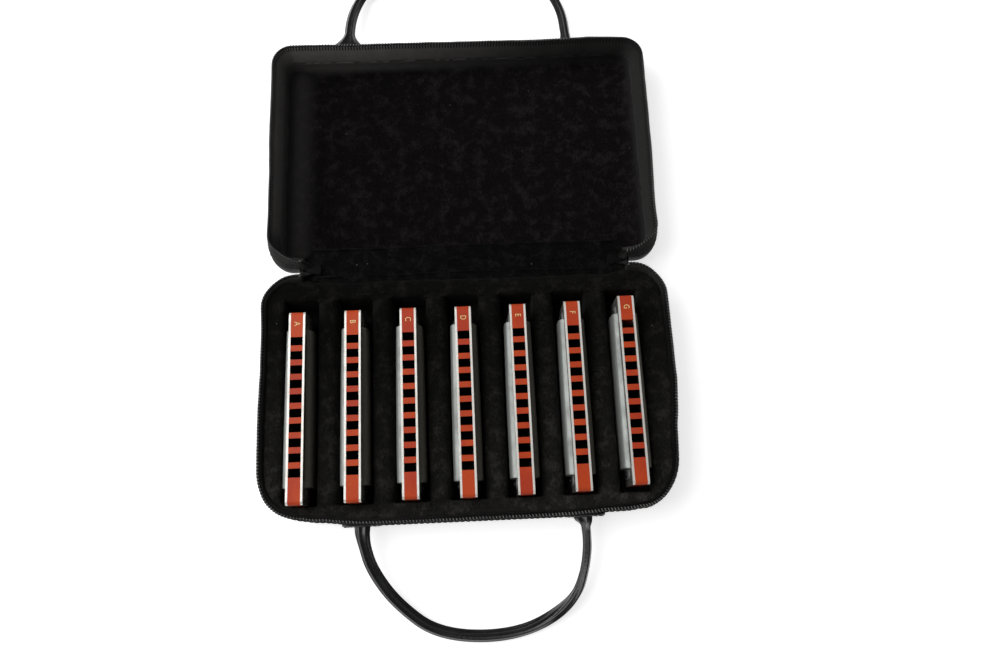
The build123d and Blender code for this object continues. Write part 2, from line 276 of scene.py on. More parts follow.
def write_mesh(name: str, points: Array, faces: Faces, uv: Optional[Array] = None) -> Piece:
    """Puts points and their faces into a new object at the origin, all of them in millimetres.

    Args:
        name: the piece's name.
        points: places, with three coordinates on the last axis.
        faces: point numbers, as many to each face.
        uv: each point's place on the cloth.

    Returns:
        The new object, smooth shaded, welded and with its faces pointing outwards.
    """
    mesh = bpy.data.meshes.new(name)
    mesh.vertices.add(points.size // 3)
    mesh.vertices.foreach_set("co", (points * MM).astype(np.float32).ravel())
    mesh.loops.add(faces.size)
    mesh.loops.foreach_set("vertex_index", faces.astype(np.int32).ravel())
    mesh.polygons.add(len(faces))
    mesh.polygons.foreach_set("loop_start", (np.arange(len(faces)) * faces.shape[1]).astype(np.int32))
    if uv is not None:
        layer = mesh.uv_layers.new(name="UVMap")
        layer.data.foreach_set("uv", (uv.reshape(-1, 2)[faces.ravel()] * MM).astype(np.float32).ravel())
    mesh.update(calc_edges=True)
    mesh.validate()
    body = bmesh.new()
    body.from_mesh(mesh)
    bmesh.ops.remove_doubles(body, verts=body.verts, dist=1e-6)
    bmesh.ops.recalc_face_normals(body, faces=body.faces)
    body.to_mesh(mesh)
    body.free()
    mesh.shade_smooth()
    return add_object(name, mesh)


def closed_sheet(front: Array, back: Array) -> Solid:
    """A thin closed solid between two grids of points, one behind the other.

    Args:
        front: a grid of points.
        back: the grid behind it.

    Returns:
        Points and faces, with strips along the four edges.
    """
    rows, columns = front.shape[:2]
    count = rows * columns
    face = quads(rows, columns)
    number = np.arange(count).reshape(rows, columns)
    rim = np.concatenate([number[0, :-1], number[:-1, -1], number[-1, :0:-1], number[:0:-1, 0]])
    after = np.roll(rim, -1)
    sides = np.stack([rim, rim + count, after + count, after], axis=-1)
    points = np.concatenate([front.reshape(-1, 3), back.reshape(-1, 3)])
    return points, np.concatenate([face, face[:, ::-1] + count, sides])


def gather(parts: Sequence[Solid]) -> Solid:
    """Several sets of points and faces as one, with the point numbers moved up."""
    starts = itertools.accumulate((points.size // 3 for points, _ in parts), initial=0)
    return (
        np.concatenate([points.reshape(-1, 3) for points, _ in parts]),
        np.concatenate([faces + start for (_, faces), start in zip(parts, starts)]),
    )


def repeat(shape: Solid, ahead: Array, beside: Array, above: Array, place: Array) -> Solid:
    """One small shape placed many times.

    Args:
        shape: the shape's own points and faces.
        ahead: the direction of its first coordinate, one or one for each copy.
        beside: the direction of its second.
        above: the direction of its third.
        place: where each copy goes.

    Returns:
        Points and faces.
    """
    points, faces = shape
    frames = np.stack([np.broadcast_to(way, place.shape) for way in (ahead, beside, above)], axis=-1)
    placed = np.einsum("kij,nj->kni", frames, points) + place[:, None]
    steps = np.arange(len(place))[:, None, None] * len(points)
    return placed.reshape(-1, 3), (faces[None] + steps).reshape(-1, faces.shape[1])


def capped(rows: Array) -> Array:
    """Rings of points with one more at each end, which has shrunk to the ring's middle."""
    first, last = (np.broadcast_to(row.mean(axis=0), row.shape)[None] for row in (rows[0], rows[-1]))
    return np.concatenate([first, rows, last])


def carried(line: Array, across: Array, above: Array, section: Array) -> Array:
    """A profile carried along a line; all but the line are one or one for each point.

    Args:
        line: points along the line.
        across: the direction of the profile's first coordinate.
        above: the direction of its second.
        section: the closed profile.

    Returns:
        One ring for each point of the line.
    """
    across, above = (np.broadcast_to(way, line.shape)[:, None] for way in (across, above))
    return line[:, None] + section[..., :1] * across + section[..., 1:] * above


def tube(line: Array, across: Array, above: Array, section: Array) -> Solid:
    """A profile carried along a line and closed at both ends, as in carried."""
    return ringed(capped(carried(line, across, above, section)))


def loft(rows: Array, along: Optional[Array] = None) -> MappedSolid:
    """A closed piece from sections in order, each end closed by a ring that has shrunk to its middle.

    Args:
        rows: sections by points by three.
        along: the distance of each section, where it isn't measured along their middles.

    Returns:
        The points, the faces and for each point its distance along the piece and round its section.
    """
    middles = rows.mean(axis=1)
    along = travelled(middles) if along is None else along
    rows = np.concatenate([rows, rows[:, :1]], axis=1)
    steps = np.linalg.norm(np.diff(rows, axis=1), axis=2)
    girth = np.concatenate([np.zeros((len(rows), 1)), np.cumsum(steps, axis=1)], axis=1)
    uv = np.stack([np.broadcast_to(along[:, None], girth.shape), girth], axis=-1)
    first, last = (np.broadcast_to(middle, rows[0].shape)[None] for middle in (middles[0], middles[-1]))
    rows, uv = np.concatenate([first, rows, last]), np.concatenate([uv[:1], uv, uv[-1:]])
    return rows, quads(*rows.shape[:2]), uv


def plump_bar(length: float, width: float, height: float, steps: int, least: float, arch: float = 0.0) -> Solid:
    """A short thread with six sides: its girth is the root of 1 - t^4, with t from -1 to 1 along it.

    Args:
        length: of the thread.
        width: across it.
        height: upwards.
        steps: how many rings.
        least: the least of 1 - t^4.
        arch: how far the middle stands over the ends.

    Returns:
        Points and faces.
    """
    t = np.linspace(-1.0, 1.0, steps)[:, None]
    girth = root(1.0 - t**4, least)
    turn = np.arange(6) * np.pi / 3
    lift = arch * (1.0 - t**2)
    points = xyz(t * length / 2, girth * np.cos(turn) * width / 2, girth * np.sin(turn) * height / 2 + lift)
    return ringed(points)


def stitches(
    line: Array, outward: Array, pitch: float, length: float, thick: float, upright: bool = False
) -> Solid:
    """A row of sewn stitches: short plump threads, each dipping into the cloth at its ends.

    Args:
        line: points along the seam.
        outward: the cloth's outward direction, one or one for each point.
        pitch: from one stitch to the next.
        length: of a stitch.
        thick: the thread's thickness.
        upright: stand each stitch across the seam, and not along it.

    Returns:
        Points and faces.
    """
    gone = travelled(line)
    count = max(1, int(gone[-1] / pitch))
    middle = (np.arange(count) + 0.5) * gone[-1] / count
    place = read(middle, gone, line)
    ahead = unit(read(middle, gone, directions(line)))
    above = unit(read(middle, gone, np.broadcast_to(outward, line.shape)))
    beside = unit(np.cross(above, ahead))
    if upright:
        ahead, beside = beside, -ahead
    points, faces = plump_bar(length, thick, thick, 7, 0.0, 0.25 * thick)
    return repeat((points - (0.0, 0.0, 0.1 * thick), faces), ahead, beside, above, place)


# ======== shader nodes
class Graph:
    """Adds and joins the nodes of one material or node group."""

    def __init__(self, tree: bpy.types.NodeTree) -> None:
        """Keeps the tree that the nodes go into."""
        self.tree = tree

    def join(self, value: object, socket: Socket) -> None:
        """Links another node's output to a socket, or puts a value on it, which is opaque if a colour."""
        if isinstance(value, Socket):
            self.tree.links.new(value, socket)
        else:
            socket.default_value = (*value, 1.0) if socket.type == "RGBA" else value

    def fill(self, node: bpy.types.Node, **inputs: object) -> bpy.types.Node:
        """Joins values to a node's named inputs, where _ stands for a space, and returns the node."""
        for name, value in inputs.items():
            self.join(value, node.inputs[name.replace("_", " ")])
        return node

    def node(self, kind: str, *inputs: object, **settings: object) -> bpy.types.Node:
        """A new shader node.

        Args:
            kind: what follows ShaderNode in its type.
            inputs: values for its first inputs.
            settings: values for its properties, such as operation or data_type.

        Returns:
            The node.
        """
        made = self.tree.nodes.new(f"ShaderNode{kind}")
        for setting, value in settings.items():
            setattr(made, setting, value)
        for socket, value in zip(made.inputs, inputs):
            self.join(value, socket)
        return made

    def math(self, operation: str, first: object, second: object = 0.0) -> Socket:
        """One sum, such as MINIMUM or SINE, of two numbers or outputs."""
        return self.node("Math", first, second, operation=operation).outputs[0]

    def times(self, first: object, second: object) -> Socket:
        """Two numbers or outputs multiplied."""
        return self.math("MULTIPLY", first, second)

    def plus(self, first: object, second: object) -> Socket:
        """Two numbers or outputs added."""
        return self.math("ADD", first, second)

    def size(self, value: object) -> Socket:
        """A number or an output without its sign."""
        return self.math("ABSOLUTE", value)

    def split(self, place: Socket) -> tuple[Socket, ...]:
        """The three coordinates of a point."""
        return tuple(self.node("SeparateXYZ", place).outputs)

    def fit(self, value: object, low: float, high: float, out_low: float = 0.0, out_high: float = 1.0) -> Socket:
        """A value taken smoothly from one range to another and held inside it."""
        numbers = (value, low, high, out_low, out_high)
        return self.node("MapRange", *numbers, interpolation_type="SMOOTHSTEP").outputs[0]

    def noise(
        self, place: Socket, scale: object, detail: float = 2.0, rough: float = 0.5, bend: float = 0.0
    ) -> Socket:
        """Cloudy noise from 0 to 1, with so many cells to the metre."""
        made = self.node("TexNoise")
        self.fill(made, Vector=place, Scale=scale, Detail=detail, Roughness=rough, Distortion=bend)
        return made.outputs["Fac"]

    def cells(self, place: Socket, scale: float, feature: str = "F1") -> Socket:
        """The distance from the middles of cells, with so many to the metre."""
        return self.fill(self.node("TexVoronoi", feature=feature), Vector=place, Scale=scale).outputs["Distance"]

    def stretch(self, place: Socket, scale: Spot, turn: float) -> Socket:
        """Coordinates scaled along each axis, after a turn about the third one."""
        made = self.node("Mapping", vector_type="POINT")
        return self.fill(made, Vector=place, Rotation=(0.0, 0.0, turn), Scale=scale).outputs[0]

    def blend(self, share: object, first: object, second: object) -> Socket:
        """The first colour where the share is 0, the second where it is 1."""
        made = self.node("Mix", data_type="RGBA")
        for name, value in (("Factor", share), ("A", first), ("B", second)):
            self.join(value, made.inputs[name])
        return made.outputs["Result"]

    def scaled(self, colour: object, factor: object) -> Socket:
        """A colour or a point with every part multiplied by one factor."""
        return self.fill(self.node("VectorMath", colour, operation="SCALE"), Scale=factor).outputs[0]

    def bump(self, height: Socket, distance: float, strength: float, under: Optional[Socket] = None) -> Socket:
        """A normal that follows a height from 0 to 1, which stands for that distance in metres."""
        made = self.fill(self.node("Bump"), Strength=strength, Distance=distance, Height=height)
        if under is not None:
            self.fill(made, Normal=under)
        return made.outputs[0]


Outputs = dict[str, Socket]


def weave(graph: Graph, place: Socket, threads: Socket) -> Outputs:
    """Plain weave on two coordinates, with so many threads to the metre."""
    waves = [graph.math("SINE", graph.times(graph.times(axis, threads), math.pi)) for axis in graph.split(place)[:2]]
    warp, weft = (graph.size(wave) for wave in waves)
    side = graph.fit(graph.times(*waves), -0.35, 0.35)
    lowered = graph.times(weft, graph.math("SUBTRACT", 1.0, side))
    return {
        "Height": graph.plus(graph.times(warp, side), lowered),
        "Gap": graph.fit(graph.math("MINIMUM", warp, weft), 0.30, 0.05),
    }


def pile(graph: Graph, place: Socket, patches: Socket) -> Outputs:
    """Cut pile: short fibres that lean in patches, so many to the metre, with a few specks of lint."""
    tufts = graph.noise(place, 2600.0, 3.0, 0.7)
    strands = graph.noise(graph.stretch(place, (1.0, 0.35, 1.0), 0.5), 1500.0)
    speck = graph.fit(graph.cells(place, 150.0), 0.075, 0.03)
    return {
        "Height": graph.plus(graph.times(tufts, 0.6), graph.times(strands, 0.4)),
        "Nap": graph.fit(graph.noise(place, patches, 5.0, 0.72, 0.25), 0.46, 0.66),
        "Lint": graph.times(speck, graph.fit(graph.noise(place, 90.0, 1.0), 0.60, 0.66)),
    }


def painted_light_ramp(graph: Graph, place: Socket, span: Socket) -> Outputs:
    """A share along x, from 0 to 1 over a span each way, with a little cloud: the ramp for painted light and shade
    across the case.
    """
    cloud = graph.times(graph.noise(place, 30.0), 0.3)
    return {"Share": graph.fit(graph.plus(graph.math("DIVIDE", graph.split(place)[0], span), cloud), -0.85, 1.15)}


def handling(graph: Graph, place: Socket, marks: Socket) -> Outputs:
    """Marks of handling: cloudy smudges, so many to the metre, and fine scratches along one way."""
    lines = graph.noise(graph.stretch(place, (14.0, 0.25, 14.0), 0.02), 900.0)
    smudges = graph.noise(place, marks, 4.0, 0.6)
    return {"Smudge": graph.fit(smudges, 0.38, 0.70), "Scratch": graph.fit(lines, 0.35, 0.75)}


@dataclass(frozen=True)
class Effect:
    """A shader effect that several finishes share: a node group that is built once."""

    name: str
    number: str
    outputs: tuple[str, ...]
    lay: Callable[[Graph, Socket, Socket], Outputs]

    def group(self) -> bpy.types.NodeTree:
        """The node group, made once and then found again by its name."""
        found = bpy.data.node_groups.get(self.name)
        if found is not None:
            return found
        tree = bpy.data.node_groups.new(self.name, "ShaderNodeTree")
        sockets = [("Vector", "INPUT", "Vector"), (self.number, "INPUT", "Float")]
        for name, way, kind in sockets + [(name, "OUTPUT", "Float") for name in self.outputs]:
            tree.interface.new_socket(name, in_out=way, socket_type=f"NodeSocket{kind}")
        source, result = (tree.nodes.new(kind) for kind in ("NodeGroupInput", "NodeGroupOutput"))
        graph = Graph(tree)
        graph.fill(result, **self.lay(graph, source.outputs["Vector"], source.outputs[self.number]))
        return tree

    def on(self, graph: Graph, place: Socket, number: float) -> tuple[Socket, ...]:
        """Places the group in a material with its point and its number, and returns its outputs."""
        made = graph.node("Group", node_tree=self.group())
        return tuple(graph.fill(made, Vector=place, **{self.number: number}).outputs)


WEAVE = Effect("weave", "Threads", ("Height", "Gap"), weave)
PILE = Effect("pile", "Patches", ("Height", "Nap", "Lint"), pile)
PAINTED_LIGHT_RAMP = Effect("painted_light_ramp", "Span", ("Share",), painted_light_ramp)
HANDLING = Effect("handling", "Clouds", ("Smudge", "Scratch"), handling)


# ======== finishes
class Place(Enum):
    """Where a finish reads its pattern's coordinates."""

    OBJECT = "Object"
    UV = "UV"


class Skin(Graph):
    """The nodes of one material: its shader, and the point that its pattern is read at."""

    def __init__(self, material: bpy.types.Material, place: Place) -> None:
        """Turns the material's nodes on and finds its shader."""
        material.use_nodes = True
        super().__init__(material.node_tree)
        self.shader = self.tree.nodes["Principled BSDF"]
        self.place = self.point(place)

    def point(self, place: Place) -> Socket:
        """The coordinates of that kind."""
        return self.node("TexCoord").outputs[place.value]

    def lay(self, **inputs: object) -> None:
        """Joins values to the shader's inputs, by their names with _ for a space."""
        self.fill(self.shader, **inputs)

    @property
    def colour(self) -> Socket:
        """The colour that is laid so far."""
        return self.shader.inputs["Base Color"].links[0].from_socket

    def lean(self) -> Socket:
        """A share from 0 at the left to 1 at the right at this place, which the finishes use to paint light and
        shade across the case.
        """
        return PAINTED_LIGHT_RAMP.on(self, self.point(Place.OBJECT), 0.11)[0]

    def paint_shade_below(self, shade: Colour, low: float, high: float) -> None:
        """Lays a painted shade below a height, which gives way to the colour between the two."""
        self.lay(Base_Color=self.blend(self.fit(self.split(self.place)[2], low, high), shade, self.colour))

    def paint_shade_in_chambers(self, shade: Colour) -> None:
        """Lays a painted shade in the harmonicas' air chambers, by a product of steps along z and along y."""
        _, y, z = self.split(self.place)
        depth = self.times(self.fit(z, 0.0319, 0.0314), self.fit(z, 0.006, 0.008))
        along = self.times(self.fit(y, -0.1160, -0.1155), self.fit(y, -0.0395, -0.0400))
        self.lay(Base_Color=self.blend(self.times(depth, along), self.colour, shade))


@dataclass(frozen=True)
class Finish:
    """A material's plain facts, its pattern by kind, and painted shade below a height and in the chambers, where
    given.
    """

    name: str
    colour: Colour
    roughness: float = 0.5
    place: Place = Place.OBJECT
    # below: painted shade under a height, as its colour, low and high; chambers: painted shade in the harmonicas'
    # air chambers
    below: Optional[tuple[Colour, float, float]] = None
    chambers: Optional[Colour] = None

    def material(self) -> bpy.types.Material:
        """The material, made once and then found again by its name."""
        found = bpy.data.materials.get(self.name)
        if found is not None:
            return found
        made = bpy.data.materials.new(self.name)
        made.diffuse_color = (*self.colour, 1.0)
        skin = Skin(made, self.place)
        skin.lay(Base_Color=self.colour, Roughness=self.roughness)
        self.dress(skin)
        if self.below is not None:
            skin.paint_shade_below(*self.below)
        if self.chambers is not None:
            skin.paint_shade_in_chambers(self.chambers)
        return made

    def dress(self, skin: Skin) -> None:
        """Adds the pattern; a plain finish has none."""

    def put_on(self, piece: Piece) -> None:
        """Makes this the piece's only material."""
        piece.data.materials.clear()
        piece.data.materials.append(self.material())


@dataclass(frozen=True)
class Velvet(Finish):
    """Cut pile with an uneven nap, a faint sheen and a few specks of lint, and painted light and shade by gains
    along x and y.
    """

    nap: Colour = (0.02, 0.02, 0.02)
    lint: Colour = (0.10, 0.10, 0.095)
    patches: float = 150.0
    sheen: float = 0.03
    painted_light_gain_right: float = 1.0
    painted_shade_gain_hinge: float = 1.0
    painted_light_gain_near: float = 1.0

    def dress(self, skin: Skin) -> None:
        """Lays nap patches and lint into the colour, and fibres into the normal; gains along y and to the right
        scale the colour as painted light and shade.
        """
        height, nap, lint = PILE.on(skin, skin.place, self.patches)
        # painted light and shade: the colour is lighter towards the near edge and the right, and darker towards the
        # hinge
        along = skin.fit(skin.split(skin.place)[1], -0.135, -0.015, self.painted_light_gain_near, self.painted_shade_gain_hinge)
        painted_gain = skin.times(skin.fit(skin.lean(), 0.0, 1.0, 1.0, self.painted_light_gain_right), along)
        fibre = skin.times(skin.fit(height, 0.36, 0.64, 0.55, 1.45), painted_gain)
        tone = skin.scaled(skin.blend(nap, self.colour, self.nap), fibre)
        skin.lay(Base_Color=skin.blend(lint, tone, self.lint), Normal=skin.bump(height, 0.0005, 0.8))
        skin.lay(Specular_IOR_Level=0.04, Sheen_Weight=self.sheen)
        skin.lay(Sheen_Roughness=0.45, Sheen_Tint=(0.55, 0.52, 0.52))


@dataclass(frozen=True)
class LiningVelvetPaintedLight(Velvet):
    """Velvet with painted light where it turns up beside the lid's wall, and on the floor beside the left wall."""

    painted_light_left_wall: Colour = (0.115, 0.109, 0.107)
    painted_light_right_wall: Colour = (0.021, 0.0198, 0.0198)

    def dress(self, skin: Skin) -> None:
        """Lays painted light over the velvet's colour by the height, lighter on the left wall than the right, and a
        weaker painted light on the floor by the left wall.
        """
        super().dress(skin)
        x, _, z = skin.split(skin.place)
        height = skin.plus(z, skin.times(skin.noise(skin.place, 70.0), 0.002))
        # painted light: the turned-up walls, and the floor beside the left wall where shadow falls, are lightened
        turned = skin.blend(skin.lean(), self.painted_light_left_wall, self.painted_light_right_wall)
        beside = skin.times(skin.fit(x, -0.084, -0.099), 0.22)
        share = skin.math("MAXIMUM", skin.fit(height, 0.0058, 0.0125), beside)
        skin.lay(Base_Color=skin.blend(share, skin.colour, turned))


@dataclass(frozen=True)
class Cloth(Finish):
    """Woven cloth, with its threads, slight colour clouds and a soft gloss."""

    light: Colour = (0.05, 0.05, 0.05)
    threads: float = 2400.0
    thread_height: float = 0.00012
    gloss: float = 0.25
    sheen: float = 0.05

    def dress(self, skin: Skin) -> None:
        """Weaves the threads into colour and normal."""
        threads_at = skin.place
        if self.place is Place.OBJECT:
            flat = skin.node("VectorMath", skin.place, (1.0, 1.0, 0.0), operation="MULTIPLY_ADD")
            z = skin.split(skin.place)[2]
            skin.join(skin.node("CombineXYZ", z, skin.times(z, 0.5)).outputs[0], flat.inputs[2])
            threads_at = flat.outputs[0]
        height, gap = WEAVE.on(skin, threads_at, self.threads)
        cloud = skin.noise(skin.place, 60.0, 4.0, 0.6)
        tone = skin.blend(skin.fit(cloud, 0.3, 0.75), self.colour, self.light)
        skin.lay(
            Base_Color=skin.blend(skin.times(gap, 0.65), tone, (0.0, 0.0, 0.0)),
            Roughness=skin.fit(cloud, 0.3, 0.7, self.roughness - 0.08, self.roughness + 0.08),
            Normal=skin.bump(height, self.thread_height, 0.9),
            Specular_IOR_Level=self.gloss, Sheen_Weight=self.sheen, Sheen_Roughness=0.4,
        )


@dataclass(frozen=True)
class TapeCloth(Cloth):
    """Tape cloth with painted light and shade: dimmed towards the right, a painted tone near the hinge line, and
    painted shade between the teeth.
    """

    # the factor of painted shade at the right end, the painted tone near the hinge line, and the strength of painted
    # shade between the teeth
    painted_shade_factor_right: float = 0.45
    ends: Colour = (0.026, 0.0252, 0.0238)
    slots: float = 0.0

    def dress(self, skin: Skin) -> None:
        """Dims the colour towards the right and between the teeth as painted shade, and lays a painted tone near the
        hinge line.
        """
        super().dress(skin)
        turns = skin.math("DIVIDE", skin.split(skin.place)[0], COIL_PITCH * MM)
        beat = skin.size(skin.math("SUBTRACT", skin.math("FRACT", turns), 0.5))
        # painted shade: the colour dims towards the right
        painted_shade_rightward = skin.scaled(skin.colour, skin.fit(skin.lean(), 0.0, 1.0, 1.0, self.painted_shade_factor_right))
        _, y, z = skin.split(skin.point(Place.OBJECT))
        # painted tone near the hinge line: painted light on the base tape, a darker tone on the lid's lighter tape
        cloth = skin.blend(skin.fit(skin.size(y), 0.030, 0.012), painted_shade_rightward, self.ends)
        # painted shade between the teeth: dark marks at the coil's pitch below 22.6 mm
        slot = skin.times(skin.fit(beat, 0.30, 0.22), skin.times(skin.fit(z, 0.0212, 0.0226), self.slots))
        skin.lay(Base_Color=skin.blend(slot, cloth, (0.004, 0.004, 0.004)))


@dataclass(frozen=True)
class Leather(Finish):
    """Glossy leatherette: a pebbled grain under a clear top coat, dulled where hands rub it."""

    coat: float = 0.3
    worn: Colour = (0.03, 0.03, 0.032)

    def dress(self, skin: Skin) -> None:
        """Lays the grain, the creases and the rubbed patches."""
        creases = skin.noise(skin.place, 240.0, 5.0, 0.65, 0.6)
        rubbed = skin.fit(skin.noise(skin.place, 70.0, 3.0), 0.45, 0.75)
        rough = skin.plus(skin.times(rubbed, 0.14), self.roughness)
        grain = skin.cells(skin.place, 1100.0, "SMOOTH_F1")
        skin.lay(
            Base_Color=skin.blend(rubbed, self.colour, self.worn),
            Roughness=skin.plus(rough, skin.times(creases, 0.06)),
            Normal=skin.bump(grain, 0.00012, 0.5, skin.bump(creases, 0.00035, 0.6)),
            Coat_Weight=self.coat, Coat_Roughness=0.18,
        )


@dataclass(frozen=True)
class Plastic(Finish):
    """Moulded plastic with a clean gloss, flow clouds in its colour and smudges in its shine."""

    deep: Colour = (0.4, 0.03, 0.02)
    shine: float = 0.5

    def dress(self, skin: Skin) -> None:
        """Lays the clouds, the smudges and a faint ripple from the mould."""
        smudge, _ = HANDLING.on(skin, skin.place, 110.0)
        flow = skin.fit(skin.noise(skin.place, 45.0, 3.0, bend=0.7), 0.35, 0.7)
        skin.lay(
            Base_Color=skin.blend(flow, self.colour, self.deep),
            Roughness=skin.plus(skin.times(smudge, 0.16), self.roughness),
            Normal=skin.bump(skin.noise(skin.place, 420.0), 0.00005, 0.4),
            Specular_IOR_Level=self.shine,
        )


@dataclass(frozen=True)
class Metal(Finish):
    """Sheet or cast metal with a grain along its length, smudges and dulled patches."""

    dull: Colour = (0.4, 0.4, 0.39)
    grain: float = 0.00002
    smudge: float = 0.2
    metallic: float = 1.0

    def dress(self, skin: Skin) -> None:
        """Lays the grain and the marks of handling."""
        smudge, scratch = HANDLING.on(skin, skin.place, 95.0)
        rough = skin.plus(skin.times(scratch, 0.08), skin.times(smudge, self.smudge))
        skin.lay(
            Base_Color=skin.blend(smudge, self.colour, self.dull),
            Roughness=skin.plus(rough, self.roughness),
            Normal=skin.bump(scratch, self.grain, 0.5),
            Metallic=self.metallic,
        )


@dataclass(frozen=True)
class CoverSteel(Metal):
    """The covers' pressed sheet, with painted shade on the cover on each harmonica's right side."""

    painted_shade_right_cover: Colour = (0.168, 0.155, 0.130)

    def dress(self, skin: Skin) -> None:
        """Lays the painted shade to the right of each harmonica's middle, found by the pitch of the slots."""
        super().dress(skin)
        from_middle = skin.math("SUBTRACT", skin.split(skin.place)[0], MIDDLE_SLOT_X * MM)
        slots = skin.math("FRACT", skin.math("DIVIDE", from_middle, SLOT_PITCH * MM))
        # painted shade on each harmonica's right-hand cover
        skin.lay(Base_Color=skin.blend(skin.math("LESS_THAN", slots, 0.5), skin.colour, self.painted_shade_right_cover))


# tray velvet: painted light towards the right and the near edge, painted shade towards the hinge
TRAY_VELVET = Velvet(
    "tray_velvet", (0.0070, 0.0069, 0.0063), 0.95, nap=(0.0165, 0.0160, 0.0146), patches=130.0, sheen=0.04,
    painted_light_gain_right=1.5, painted_shade_gain_hinge=0.6, painted_light_gain_near=1.7,
)
# lining velvet: painted light grows to the right and on its turned-up walls
LINING_VELVET = LiningVelvetPaintedLight(
    "lining_velvet", (0.0040, 0.0034, 0.0036), 0.95, nap=(0.0105, 0.0091, 0.0096), painted_light_gain_right=1.45,
)
SPINE_VELVET = Velvet("spine_velvet", (0.0036, 0.0034, 0.0034), 0.95, nap=(0.0090, 0.0086, 0.0084))
SHELL_CLOTH = Cloth(
    "shell_cloth", (0.010, 0.010, 0.011), 0.62, light=(0.020, 0.020, 0.021), threads=1400.0, thread_height=0.0002,
)
# base tape: dimmed towards the right as painted shade, with painted light near the hinge line
BASE_TAPE = TapeCloth(
    "base_tape_cloth", (0.0120, 0.0118, 0.0114), 0.75, Place.UV, light=(0.0200, 0.0195, 0.0188), gloss=0.08,
    sheen=0.02,
)
# lid tape: the base tape's cloth with a far lighter colour, as painted light on its inner walls; dimmed to the right
# as painted shade, with painted shade between the teeth
LID_TAPE_PAINTED_LIGHT = TapeCloth(
    "lid_tape_cloth", (0.145, 0.138, 0.135), 0.75, Place.UV, light=(0.175, 0.167, 0.162), gloss=0.12,
    sheen=0.06, painted_shade_factor_right=0.17, slots=0.85,
)
TAPE_PLAIN = Cloth(
    "tape_plain", (0.0230, 0.0222, 0.0210), 0.75, light=(0.0360, 0.0348, 0.0330), gloss=0.1, sheen=0.03,
)
THREAD = Cloth("thread", (0.022, 0.022, 0.022), 0.6, light=(0.048, 0.048, 0.046), threads=5200.0)
LINT_FIBRE = Cloth("lint_fibre", (0.07, 0.068, 0.062), 0.8, light=(0.15, 0.145, 0.135), threads=3000.0, gloss=0.2)
STRAP_LEATHER = Leather("strap_leather", (0.0050, 0.0050, 0.0060), 0.24, worn=(0.014, 0.014, 0.015))
# black nylon coil: the light grey above 24.76 mm is a painted highlight on each turn; the black below 24.6 mm is the
# nylon's own black and painted shade between the turns
COIL_NYLON_PAINTED_HIGHLIGHT = Plastic(
    "coil_nylon_painted_highlight", (0.32, 0.32, 0.31), 0.30, deep=(0.20, 0.20, 0.195), shine=0.25,
    below=((0.003, 0.003, 0.003), 0.02460, 0.02476),
)
SLIDER_METAL = Plastic("slider_enamel", (0.007, 0.007, 0.0075), 0.55, deep=(0.005, 0.005, 0.0055), shine=0.04)
LETTER_GOLD = Metal("letter_gold", (1.0, 0.78, 0.34), 0.40, dull=(0.92, 0.68, 0.28), smudge=0.1, metallic=0.0)
COVER_STEEL = CoverSteel(
    "cover_pressed", (0.37, 0.387, 0.37), 0.52, dull=(0.31, 0.325, 0.31), grain=0.00003, smudge=0.1, metallic=0.75,
)
NODE_FINISHES: dict[str, Finish] = {
    # comb: painted shade in the air chambers
    "comb": Plastic(
        "comb_orange", (0.63, 0.080, 0.022), 0.25, deep=(0.52, 0.056, 0.026), shine=0.15,
        chambers=(0.004, 0.003, 0.003),
    ),
    # reed plates: the near-white top edges are a painted highlight, the grey below 30.2 mm is painted shade, and the
    # faces in the chambers get painted shade
    "reed_plates": Metal(
        "plate_painted_highlight", (1.0, 0.97, 0.91), 0.22, dull=(0.86, 0.82, 0.74), metallic=0.3,
        below=((0.13, 0.125, 0.115), 0.0302, 0.0312), chambers=(0.02, 0.018, 0.016),
    ),
    # reeds: brass darkened almost to black as painted shade for the dark chambers
    "reeds": Metal("reed_strip_painted_shade", (0.10, 0.085, 0.05), 0.40, dull=(0.06, 0.05, 0.03)),
    # rivets: steel darkened almost to black as painted shade at the covers' ends
    "rivets": Metal("rivet_steel_painted_shade", (0.05, 0.05, 0.048), 0.45, dull=(0.035, 0.035, 0.033)),
}


@dataclass(frozen=True)
class Fold:
    """A fold from one body to the next, with its two ends in metres."""

    first: str
    second: str
    start: Spot
    end: Spot


def settle(piece: Piece, finish: Finish, slot: str, follows: str | Fold, *stands_for: str) -> Piece:
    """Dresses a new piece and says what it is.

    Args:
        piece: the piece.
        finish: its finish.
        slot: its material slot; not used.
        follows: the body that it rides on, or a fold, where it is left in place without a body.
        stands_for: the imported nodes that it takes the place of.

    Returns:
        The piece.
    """
    finish.put_on(piece)
    if stands_for:
        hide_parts(*stands_for)
    if isinstance(follows, Fold):
        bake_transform(piece)
    else:
        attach(piece, follows)
    log.info("%s: %d points", piece.name, len(piece.data.vertices))
    return piece


def make(
    name: str, shape: Solid | MappedSolid, finish: Finish, slot: str, follows: str | Fold, *stands_for: str
) -> Piece:
    """Writes a shape as a new piece of that name and settles it."""
    return settle(write_mesh(name, *shape), finish, slot, follows, *stands_for)


# ======== the two halves
@dataclass(frozen=True)
class Footprint:
    """The outline of one half of the case in plan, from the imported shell's own box."""

    middle_y: float
    half_x: float
    half_y: float
    radii: tuple[float, float, float, float]

    def rings(self, profile: Pairs | Array, least_radius: float = 3.0) -> Array:
        """Outlines stacked by a profile; their corners shrink with the inset down to the least radius.

        Args:
            profile: insets and heights.
            least_radius: of a corner.

        Returns:
            Profile rows by points by three.
        """
        stack = []
        for inset, height in profile:
            half_y = max(self.half_y - inset, 0.0)
            radii = np.minimum(np.maximum(np.array(self.radii) - inset, least_radius), half_y)
            plan = rounded_rectangle(self.half_x - inset, half_y, radii)[0] + (0.0, self.middle_y)
            stack.append(xyz(*plan.T, height))
        return np.array(stack)


